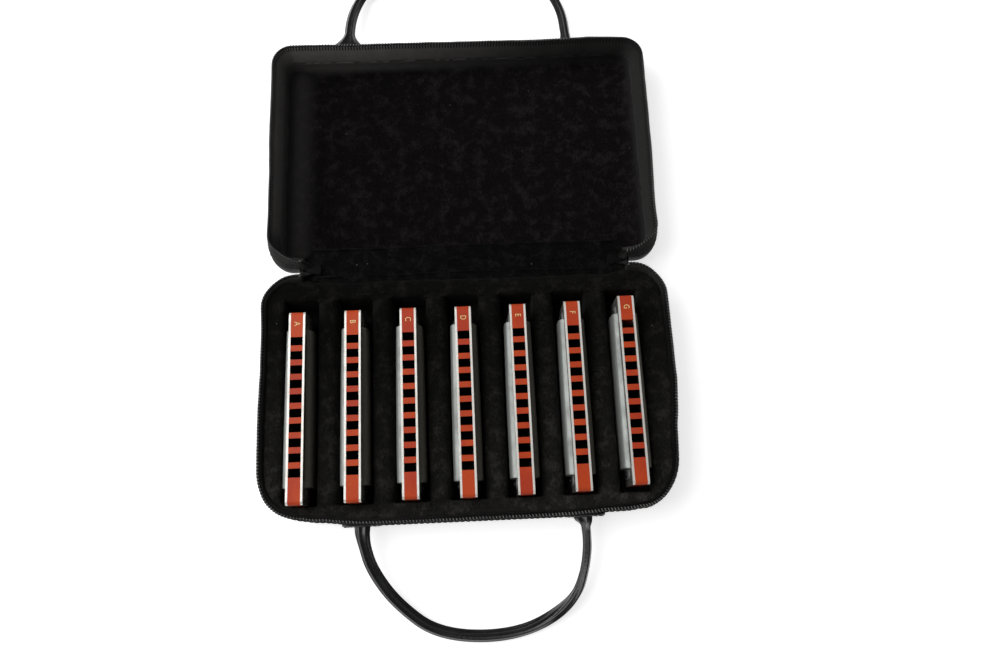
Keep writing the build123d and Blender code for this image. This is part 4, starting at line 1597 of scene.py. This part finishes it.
@dataclass
class Sliders:
    """The two zip sliders at the spine's ends, each a waisted casting with a bridge, and their hanging pulls."""

    pin_x: float = 83.75
    pin_level: float = 14.0
    pull_bottom: float = 2.0
    half_length: float = 4.2
    plate: float = 0.95
    tab_rings: Pairs = (
        (0.0, 0.35), (0.06, 0.5), (0.16, 0.58), (0.84, 0.58), (0.94, 0.5), (1.0, 0.35),
    )  # each ring's share of the way in to the slot, and its distance from the middle plane

    def slider(self, side: int) -> Solid:
        """One slider: two plates joined by a wedge, wide at the mouth and waisted, with a bridge below."""
        x = np.linspace(-self.half_length, self.half_length, 25)
        share = (x + self.half_length) / (2 * self.half_length)
        width = 4.9 + 1.7 * ease((share - 0.25) / 0.75) - 1.5 * np.exp(-(((share - 0.3) / 0.16) ** 2))
        width = width * root(1.0 - (np.abs(x) / 4.25) ** 7, 0.02)
        section = sized(oval(1.0, self.plate, 20, 4.0), width, 1.0)
        parts = []
        for level in (19.25, 16.85):
            line = xyz(side * (self.pin_x - x), 0.0, level + 0.12 * (1 - (x / self.half_length) ** 2))
            parts.append(tube(line, LIDWARD, UPWARD, section))
        post = xyz(side * 81.2, 0.0, np.linspace(17.2, 18.9, 6))
        parts.append(tube(post, RIGHTWARD, LIDWARD, oval(3.0, 1.5, 12)))
        turn = np.linspace(0.0, np.pi, 21)
        arch = xyz(side * (self.pin_x + 3.0 * np.cos(turn)), 0.0, 16.6 - 3.65 * np.sin(turn) ** 0.8)
        parts.append(tube(arch, LIDWARD, unit(np.cross(directions(arch), LIDWARD)), oval(2.2, 0.8, 12, 3.0)))
        return gather(parts)

    def pull(self, side: int) -> Solid:
        """One pull: a long wire eye that clears the bridge as it swings, and a flat tab with a slot.

        Args:
            side: -1 for the left pull, +1 for the right.

        Returns:
            Its points and faces.
        """
        turn = np.linspace(-0.42 * np.pi, 1.42 * np.pi, 29)
        eye_y, eye_z = 1.7 * power(np.cos(turn), 0.6), 2.15 * power(np.sin(turn), 0.8)
        eye = xyz(side * self.pin_x, eye_y, self.pin_level - 1.15 + eye_z)
        loop = tube(eye, RIGHTWARD, unit(np.cross(directions(eye), RIGHTWARD)), oval(0.85, 0.75, 8))
        low, high = self.pull_bottom, self.pin_level - 3.0
        centre, half_height = (low + high) / 2, (high - low) / 2
        turn = np.linspace(0.0, 2 * np.pi, 49)[:-1]
        cosine, sine = np.cos(turn), np.sin(turn)
        outer = np.stack([power(cosine, 0.55) * (1.75 - 0.12 * sine), centre + power(sine, 0.6) * half_height])
        inner = np.stack([power(cosine, 0.7) * 0.75, centre - 0.9 + power(sine, 0.7) * 2.9])
        rows = [xyz(out, *(outer + (inner - outer) * share)) for share, out in self.tab_rings]
        rings = np.array(rows + [row * (-1.0, 1.0, 1.0) for row in rows[::-1]]) + (side * self.pin_x, 0.0, 0.0)
        return gather([loop, ringed(rings, wrap_rows=True)])

    def build(self) -> None:
        """Builds the sliders and the pulls."""
        castings, looks = gather([self.slider(side) for side in SIDES]), (SLIDER_METAL, "slider_metal")
        make("slider_castings", castings, *looks, "spine", "zip_sliders")
        for side, word in zip(SIDES, ("left", "right")):
            make(f"{word}_pull_tab", self.pull(side), *looks, f"{word}_pull", f"{word}_zip_pull")


# ======== strap handles
@dataclass(frozen=True)
class HandleShape:
    """How one handle lies: its outline as places along x and shares of its reach, its roots and its twist.

    A root is how far the strap's two edges spread where it is sewn on, and over what length.  The
    twist is where it starts and ends, by the share of the way, and its angle.
    """

    outline: Pairs
    left_root: Spot
    right_root: Spot
    twist: Spot
    seed: int


HANDLES: dict[Half, HandleShape] = {
    Half.BASE: HandleShape(
        (
            (-58.5, 0.0), (-57.2, 0.12), (-54.0, 0.34), (-42.1, 0.66), (-19.97, 0.985), (21.0, 1.02), (50.8, 0.74),
            (58.3, 0.35), (58.5, 0.0),
        ),
        (1.15, 1.45, 14.0), (2.1, 1.0, 14.0), (0.60, 0.86, 1.25), seed=91,
    ),
    Half.LID: HandleShape(
        tuple(
            (0.35 + 66.3 * x, reach)
            for x, reach in ((-1, 0), (-0.985, 0.55), (-0.8, 1), (0.8, 1), (0.985, 0.55), (1, 0))
        ),
        (4.0, 3.2, 17.0), (1.6, 1.5, 12.0), (0.55, 0.95, 0.35), seed=95,
    ),
}


@dataclass
class Handle:
    """A strap handle of glossy leatherette: a padded strip with two ribs, sewn to the shell by two tabs."""

    half: Half
    axis_out: float = 142.6
    axis_level: float = 14.0
    wall_out: float = 138.9
    drop: float = math.radians(11.85)
    run: float = 55.4
    width: float = 6.4
    thickness: float = 4.2
    tab_level: float = 12.0
    tab_half: tuple[float, float] = (10.0, 6.0)
    tab_rings: Pairs = (
        (0.0, -0.8), (0.0, 0.7), (0.25, 1.05), (0.7, 1.2), (1.4, 1.22), (3.0, 1.3), (4.8, 1.4), (5.99, 1.45),
    )

    @property
    def shape(self) -> HandleShape:
        """How this handle lies."""
        return HANDLES[self.half]

    @property
    def out(self) -> int:
        """The direction along y in which the handle points away from the shell."""
        return -self.half.hinge_side

    def line(self) -> Array:
        """The middle of the strap: out of the shell's wall, then round its loop, which slopes to the table."""
        x, reach = cut_corners(np.array(self.shape.outline), 6).T * [[1.0], [self.run]]
        y = self.out * (self.axis_out + reach * math.cos(self.drop))
        loop = xyz(x, y, self.axis_level - reach * math.sin(self.drop))
        first, last = ([(end, self.out * self.wall_out, self.axis_level + 0.2)] for end in (x[0], x[-1]))
        line = even_steps(np.concatenate([first, loop, last]), 0.9)
        for _ in range(4):
            line[1:-1] = (line[:-2] + 2.0 * line[1:-1] + line[2:]) / 4.0
        return line

    def section(self) -> Array:
        """The strap's section at unit half sizes: flat edges, and two ribs with a groove between."""
        turn = np.arange(40) * np.pi / 20
        across, sine = power(np.cos(turn), 0.75), np.sin(turn)
        ribs = 0.50 + 0.50 * np.exp(-(((np.abs(across) - 0.42) / 0.24) ** 2)) + 0.06 * np.exp(-((across / 0.1) ** 2))
        return np.stack([across, power(sine, 0.8) * np.where(np.abs(sine) > 0.05, ribs, 1.0)], axis=-1)

    def frames(self, line: Array) -> tuple[Array, Array]:
        """The directions across and above the strap at each point of its line, with its twist."""
        ahead = directions(line)
        normal = np.array([0.0, self.out * math.sin(self.drop), math.cos(self.drop)])
        share = np.linspace(0.0, 1.0, len(line))
        above = unit(normal - (ahead @ normal)[:, None] * ahead)
        across = np.cross(ahead, above)
        start, end, angle = self.shape.twist
        turn = angle * ease((share - start) / (end - start)) * (1.0 - 0.75 * ease((share - 0.965) / 0.03))
        turn = (turn + 0.10 * line_noise(share, 0.13, self.shape.seed))[:, None]
        return np.cos(turn) * across + np.sin(turn) * above, np.cos(turn) * above - np.sin(turn) * across

    def strap(self, line: Array, across: Array, above: Array) -> MappedSolid:
        """Carries the section along the line, flared where it meets the shell, with soft dents.

        Args:
            line: the strap's middle.
            across: the direction across it at each point.
            above: the direction out of its face.

        Returns:
            The mesh, with its cloth map.
        """
        gone = travelled(line)
        left, right = gone, gone[-1] - gone
        wide, shift = 1.0, 0.0
        roots = (left, 1.0, self.shape.left_root), (right, -1.0, self.shape.right_root)
        for near, way, (inner, outer, reach) in roots:
            flare = (1.0 - ease(near / reach)) ** 1.3
            wide = wide + ((inner + outer) / 2 - 1.0) * flare
            shift = shift + (inner - outer) / 2 * flare * way
        dents = 1.0 + 0.05 * line_noise(gone, 9.0, self.shape.seed + 1)
        thick = self.thickness / 2 * (1.0 - 0.30 * (1.0 - ease(np.minimum(left, right) / 8.0))) * dents
        middle = line - (shift * self.width / 2)[:, None] * across * self.out
        rows = carried(middle, across, above, sized(self.section(), wide * self.width / 2, thick))
        rows[..., 2] = np.maximum(rows[..., 2], 0.02)
        return loft(rows)

    def seam(self, line: Array, above: Array) -> Solid:
        """Sews a row of stitches in the groove between the two ribs on each face of the strap."""
        inner = slice(12, len(line) - 12)
        faces = (0.54 * self.thickness / 2 * above, above), (-0.54 * self.thickness / 2 * above, -above)
        return gather([stitches((line + shift)[inner], way[inner], 3.1, 2.4, 0.38) for shift, way in faces])

    def tab(self, middle: float) -> Solid:
        """One tab on the shell's wall: a rounded leather patch, domed where the strap passes under it."""
        half = np.array(self.tab_half)
        outline, _ = rounded_rectangle(*half, 3.0, steps=6)
        rings = [xyz(middle, self.out * 137.4, np.full(len(outline), self.tab_level))]
        for inset, rise in self.tab_rings:
            x, z = (outline * ((half - inset) / half)).T
            bulge = 0.4 * np.exp(-((x / 3.4) ** 2)) * ease(np.array(inset / 1.5))
            rings.append(xyz(middle + x, self.out * (138.2 + rise + bulge), self.tab_level + z))
        return ringed(np.array(rings))

    def tab_seam(self, middle: float) -> Solid:
        """The stitches round one tab."""
        plan, _ = rounded_rectangle(8.9, 4.9, 2.2, steps=6)
        x, z = np.concatenate([plan, plan[:1]]).T
        line = even_steps(xyz(middle + x, self.out * 139.52, self.tab_level + z), 0.8)
        return stitches(line, (0.0, self.out, 0.0), 2.4, 1.9, 0.4)

    def build(self) -> None:
        """Builds the strap, its stitches and its tabs; the strap and its stitches are given a fold at the handle's
        hinge line.
        """
        name, line = f"{self.half.prefix}_handle", self.line()
        across, above = self.frames(line)
        ends = (self.shape.outline[0][0], self.shape.outline[-1][0])
        root_fold = Fold(
            self.half.body, name, (0.0, self.out * 139.6 * MM, 14.0 * MM), (0.0, self.out * 146.0 * MM, 13.2 * MM),
        )
        for part, shape, finish, follows, *nodes in (
            ("strap", self.strap(line, across, above), STRAP_LEATHER, root_fold, name),
            ("stitches", self.seam(line, above), THREAD, root_fold),
            ("patches", gather([self.tab(x) for x in ends]), STRAP_LEATHER, self.half.body, f"{name}_tabs"),
            ("patch_stitches", gather([self.tab_seam(x) for x in ends]), THREAD, self.half.body),
        ):
            make(f"{name}_{part}", shape, finish, "handle_leather", follows, *nodes)


# ======== harmonicas
@dataclass
class Harmonica:
    """One ten-hole harmonica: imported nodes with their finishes, two pressed covers and its key's letter."""

    note: str
    length: float = 83.0
    bulge: float = 4.0
    lip: float = 4.4
    shoulder: float = 5.1
    sheet: float = 0.5
    flat_rise: float = 0.35
    flange: tuple[float, float] = (5.0, 11.0)
    letter_height: float = 3.4
    letter_from_end: float = 6.6

    def cover(self, side: int, plate_x: float, middle: Array, half_height: float) -> Solid:
        """One cover as a closed sheet, which swells over a rounded shoulder and turns back at its open rear.

        Args:
            side: -1 for the left cover, +1 for the right.
            plate_x: the reed plate's outer face.
            middle: the comb's middle.
            half_height: half of the comb's height.

        Returns:
            Points and faces.
        """
        start, bottom = middle[2] + half_height - self.lip, middle[2] - half_height + 0.7
        end = self.length / 2
        front_part = np.linspace(0.0, 1.0, 15) ** 0.8 * self.shoulder
        fall = np.concatenate([front_part, np.linspace(self.shoulder, start - bottom, 14)[1:]])
        turn, rear = np.clip(fall / self.shoulder, 0.0, 1.0), fall / fall[-1]
        swell = root(1.0 - (1.0 - turn) ** 2.2)
        swell = swell * (1.0 + 0.03 * np.sin(np.pi * rear) - 0.16 * ease((rear - 0.72) / 0.28))
        ramp = np.array([0.0, 0.05, 0.12, 0.22, 0.35, 0.5, 1.2, 2.6])
        along = np.concatenate([-end + ramp, np.linspace(-end + 5.0, end - 5.0, 25), (end - ramp)[::-1]])[:, None]
        arch = root(1.0 - (1.0 - np.clip((end - np.abs(along)) / 0.5, 0.0, 1.0)) ** 2.4)
        arch = arch * (0.74 + 0.06 * (1.0 - (along / end) ** 2) - 0.07 * along / end)
        out = self.flat_rise + (self.bulge - self.flat_rise) * swell * arch
        out = out - self.flat_rise * (1.0 - ease(turn * 6.0))
        front = xyz(plate_x + side * out, middle[1] + along, start - fall)
        back = xyz(plate_x + side * np.maximum(out - self.sheet, 0.02), *np.moveaxis(front, -1, 0)[1:])
        back[..., 2] = np.minimum(back[..., 2], start - 0.02)
        return closed_sheet(front, back)

    def flange_plate(self, side: int, end: int, plate_x: float, middle: Array) -> Solid:
        """The flat ear at one end of a cover, which a rivet holds: a thin rounded plate.

        Args:
            side: -1 for the left cover, +1 for the right.
            end: -1 for the end at the smaller y, +1 for the other.
            plate_x: the reed plate's outer face.
            middle: the comb's middle.

        Returns:
            Points and faces.
        """
        wide, tall = self.flange
        plan, _ = rounded_rectangle(wide / 2 + 0.8, tall / 2, 1.6, steps=4)
        centre = middle[1:] + (end * (self.length / 2 + wide / 2 - 0.8), 0.0)
        layers = ((0.001, 0.0), (1.0, 0.0), (1.0, 0.22), (0.95, 0.3), (0.001, 0.3))
        return ringed(np.array([xyz(plate_x + side * out, *(centre + plan * scale).T) for scale, out in layers]))

    def letter(self, x: float, end_y: float, level: float) -> Piece:
        """The key's letter, inked flat on the comb with its top towards +X.

        Args:
            x: the comb's middle.
            end_y: the comb's end at the larger y.
            level: the comb's top.

        Returns:
            The letter.
        """
        name = f"key_letter_{self.note}"
        text = bpy.data.curves.new(name, "FONT")
        text.body, text.size = self.note, self.letter_height * MM * 1.42
        text.align_x, text.align_y = "CENTER", "CENTER"
        text.extrude, text.resolution_u = 0.03 * MM, 6
        source = add_object(f"{name}_outline", text)
        bpy.context.view_layer.update()
        mesh = bpy.data.meshes.new_from_object(source.evaluated_get(bpy.context.evaluated_depsgraph_get()))
        bpy.data.objects.remove(source)
        turn = Matrix(((0.0, 0.92, 0.0), (-0.72, 0.0, 0.0), UPWARD)).to_4x4()
        mesh.transform(Matrix.Translation(Vector((x, end_y - self.letter_from_end, level + 0.02)) * MM) @ turn)
        return add_object(name, mesh)

    def build(self) -> None:
        """Dresses the nodes and builds the covers and the letter."""
        for kind, finish in NODE_FINISHES.items():
            for slot in bpy.data.objects[f"{kind}_{self.note}"].material_slots:
                slot.material = finish.material()
        low, high = (np.array(corner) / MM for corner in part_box(f"comb_{self.note}"))
        plates = (corner[0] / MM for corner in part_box(f"reed_plates_{self.note}"))
        middle = (low + high) / 2
        parts = []
        for side, plate_x in zip(SIDES, plates):
            parts.append(self.cover(side, plate_x, middle, (high[2] - low[2]) / 2))
            parts.extend(self.flange_plate(side, end, plate_x, middle) for end in SIDES)
        body, name = f"harmonica_{self.note}", f"cover_plates_{self.note}"
        covers = make(name, gather(parts), COVER_STEEL, "cover_steel", body, f"covers_{self.note}")
        covers.data.set_sharp_from_angle(angle=math.radians(50.0))
        settle(self.letter(middle[0], high[1], high[2]), LETTER_GOLD, "reed_brass", body)


# ======== lint
@dataclass
class Lint:
    """Loose fibres caught on the velvet: short bent threads, each a few faces."""

    tray: Tray
    to_a_slot: int = 9
    on_the_border: int = 26
    on_the_lid: int = 46
    lid_level: float = 5.1
    seed: int = 131

    def fibre(self) -> Solid:
        """One bent thread, 1 mm long."""
        t = np.linspace(-0.5, 0.5, 4)
        line = xyz(t, 0.18 * (1 - 4 * t**2), 0.1 * (1 - 4 * t**2))
        return ringed(carried(line, LIDWARD, UPWARD, oval(0.11, 0.09, 3)))

    def scatter(self, name: str, places: Array, lengths: Array, rng: np.random.Generator, body: str) -> None:
        """Lays a fibre at each place, turned at random about the upright.

        Args:
            name: the piece's name.
            places: where the fibres lie.
            lengths: how long each is.
            rng: the source of the turns.
            body: the body that they ride on.
        """
        turn = rng.uniform(0.0, 2 * np.pi, len(places))
        ahead = unit(xyz(np.cos(turn), np.sin(turn), rng.uniform(-0.25, 0.25, len(places))))
        beside = unit(np.cross(UPWARD, ahead))
        threads = repeat(self.fibre(), ahead * lengths[:, None], beside, np.cross(ahead, beside), places)
        make(name, threads, LINT_FIBRE, "velvet", body)

    def build(self) -> None:
        """Scatters lint on the tray, mostly along the dividers' edges, and on the lid's lining."""
        tray, rng = self.tray, np.random.default_rng(self.seed)
        low, high = tray.well_y
        x, y = [], []
        for centre in tray.centres:
            x.append(centre + tray.slot_half + 1.0 + rng.gamma(1.5, 0.8, self.to_a_slot))
            y.append(rng.uniform(low + 2, high - 2, self.to_a_slot))
        count = self.on_the_border
        x.append(rng.uniform(-100.0, 100.0, count))
        near = rng.random(count) < 0.5
        y.append(np.where(near, rng.uniform(-134.0, -131.0, count), rng.uniform(-17.0, -10.0, count)))
        x, y = np.concatenate(x), np.concatenate(y)
        level = tray.top(x, y) + 0.06
        half, radius = SLOT_PITCH / 2, tray.divider_edge
        edge = np.abs((x - tray.centres[0] + half) % SLOT_PITCH - half) - tray.slot_half
        rolled = (y > low) & (y < high) & (edge < radius)
        level = np.where(rolled, level - radius * (1 - root(1 - (1 - edge / radius) ** 2)), level)
        lengths = rng.uniform(0.4, 1.1, len(x))
        self.scatter("tray_lint", xyz(x, y, level), lengths, rng, Half.BASE.body)
        count = self.on_the_lid
        places = xyz(rng.uniform(-97.0, 97.0, count), rng.uniform(22.0, 126.0, count), self.lid_level)
        self.scatter("lid_lint", places, rng.uniform(0.3, 0.9, count), rng, Half.LID.body)


# ======== studio
@dataclass
class Studio:
    """The plain pale floor, the soft lamps and the camera, which aren't part of the case."""

    place: Spot = (5.071, -143.776, 432.240)
    tilt: float = 0.246353
    roll: float = -0.046257
    pan: float = 0.029762
    focal_pixels: float = 780.0
    frame_width: int = 1000
    sensor_width: float = 36.0
    floor_half: float = 6000.0
    floor_level: float = -0.05
    floor_glow: float = 0.7
    surround: float = 0.12
    lamps: tuple[tuple[str, Spot, float, float], ...] = (
        ("key_lamp", (-0.95, 0.15, 0.95), 1.2, 12.0), ("overhead_lamp", (-0.55, 0.30, 1.15), 1.1, 4.6),
    )

    def camera(self) -> None:
        """Stands the camera over the case, tilted back from straight down, with a slight roll and pan."""
        flat = math.cos(self.pan)
        forward = unit(np.array([math.sin(self.pan), math.sin(self.tilt) * flat, -math.cos(self.tilt) * flat]))
        side = unit(np.cross(forward, LIDWARD))
        top = np.cross(side, forward)
        right = math.cos(self.roll) * side + math.sin(self.roll) * top
        up = -math.sin(self.roll) * side + math.cos(self.roll) * top
        data = bpy.data.cameras.new("camera")
        data.sensor_fit, data.sensor_width = "HORIZONTAL", self.sensor_width
        data.lens = self.sensor_width * self.focal_pixels / self.frame_width
        data.clip_start, data.clip_end = 0.01, 50.0
        camera = add_object("camera", data)
        turn = Matrix(np.column_stack([right, up, -forward]).tolist()).to_4x4()
        camera.matrix_world = Matrix.Translation(Vector(self.place) * MM) @ turn
        bpy.context.scene.camera = camera

    def lamp(self, name: str, place: Spot, size: float, power_in_watts: float) -> None:
        """A square soft lamp that faces the case's middle.

        Args:
            name: the lamp's name.
            place: where it stands, in metres.
            size: its width, in metres.
            power_in_watts: its power.
        """
        data = bpy.data.lights.new(name, "AREA")
        data.shape, data.size, data.energy = "SQUARE", size, power_in_watts
        turn = (-Vector(place)).to_track_quat("-Z", "Y").to_matrix().to_4x4()
        add_object(name, data).matrix_world = Matrix.Translation(Vector(place)) @ turn

    def seen(self, graph: Graph) -> Socket:
        """1 for a ray from the camera, from a gloss or through glass, and 0 for one that lights the case."""
        path = graph.node("LightPath").outputs
        seen = graph.math("MAXIMUM", path["Is Camera Ray"], path["Is Glossy Ray"])
        return graph.math("MAXIMUM", seen, path["Is Transmission Ray"])

    def floor(self) -> None:
        """A wide white floor that keeps the case's shadow and looks white to the camera where it is lit."""
        corners = np.array([(-1, -1), (1, -1), (1, 1), (-1, 1)]) * self.floor_half
        floor = write_mesh("floor", xyz(*corners.T, self.floor_level), np.array([[0, 1, 2, 3]]))
        if floor.data.polygons[0].normal.z < 0:
            floor.data.flip_normals()
        made = bpy.data.materials.new("floor_white")
        skin = Skin(made, Place.OBJECT)
        skin.lay(Base_Color=(0.86, 0.86, 0.86), Roughness=0.9, Specular_IOR_Level=0.0)
        skin.lay(Emission_Color=(1.0, 1.0, 1.0), Emission_Strength=skin.times(self.seen(skin), self.floor_glow))
        floor.data.materials.append(made)

    def world(self) -> None:
        """A dim surround that lights the case softly, and is seen as white along the horizon."""
        world = bpy.data.worlds.new("surround")
        world.use_nodes = True
        graph = Graph(world.node_tree)
        upward = graph.split(graph.node("TexCoord").outputs["Generated"])[2]
        backdrop = graph.times(graph.fit(upward, 0.24, 0.10), self.seen(graph))
        strength = graph.plus(self.surround, graph.times(backdrop, 1.0 - self.surround))
        graph.fill(world.node_tree.nodes["Background"], Color=(1.0, 1.0, 1.0), Strength=strength)
        bpy.context.scene.world = world

    def build(self) -> None:
        """Sets the stage: camera, floor, surround and two lamps."""
        bpy.context.scene.view_settings.view_transform = "Standard"
        self.camera()
        self.floor()
        self.world()
        for lamp in self.lamps:
            self.lamp(*lamp)
        log.info("studio set")


def main() -> None:
    """Builds the case in order, from the shells outwards to what lies in them."""
    logging.basicConfig(level=logging.INFO, format="%(name)s: %(message)s", stream=sys.stdout)
    shells = [kind(half) for half in Half for kind in (Shell, Zip)]
    handles = [Handle(half) for half in Half]
    harmonicas = [Harmonica(note) for note in NOTES]
    tray = Tray()
    for part in (
        Studio(), *shells, tray, LidLining(), Spine(), ZipEnds(), Sliders(), *handles, *harmonicas, Lint(tray),
    ):
        part.build()


if __name__ == "__main__":
    main()
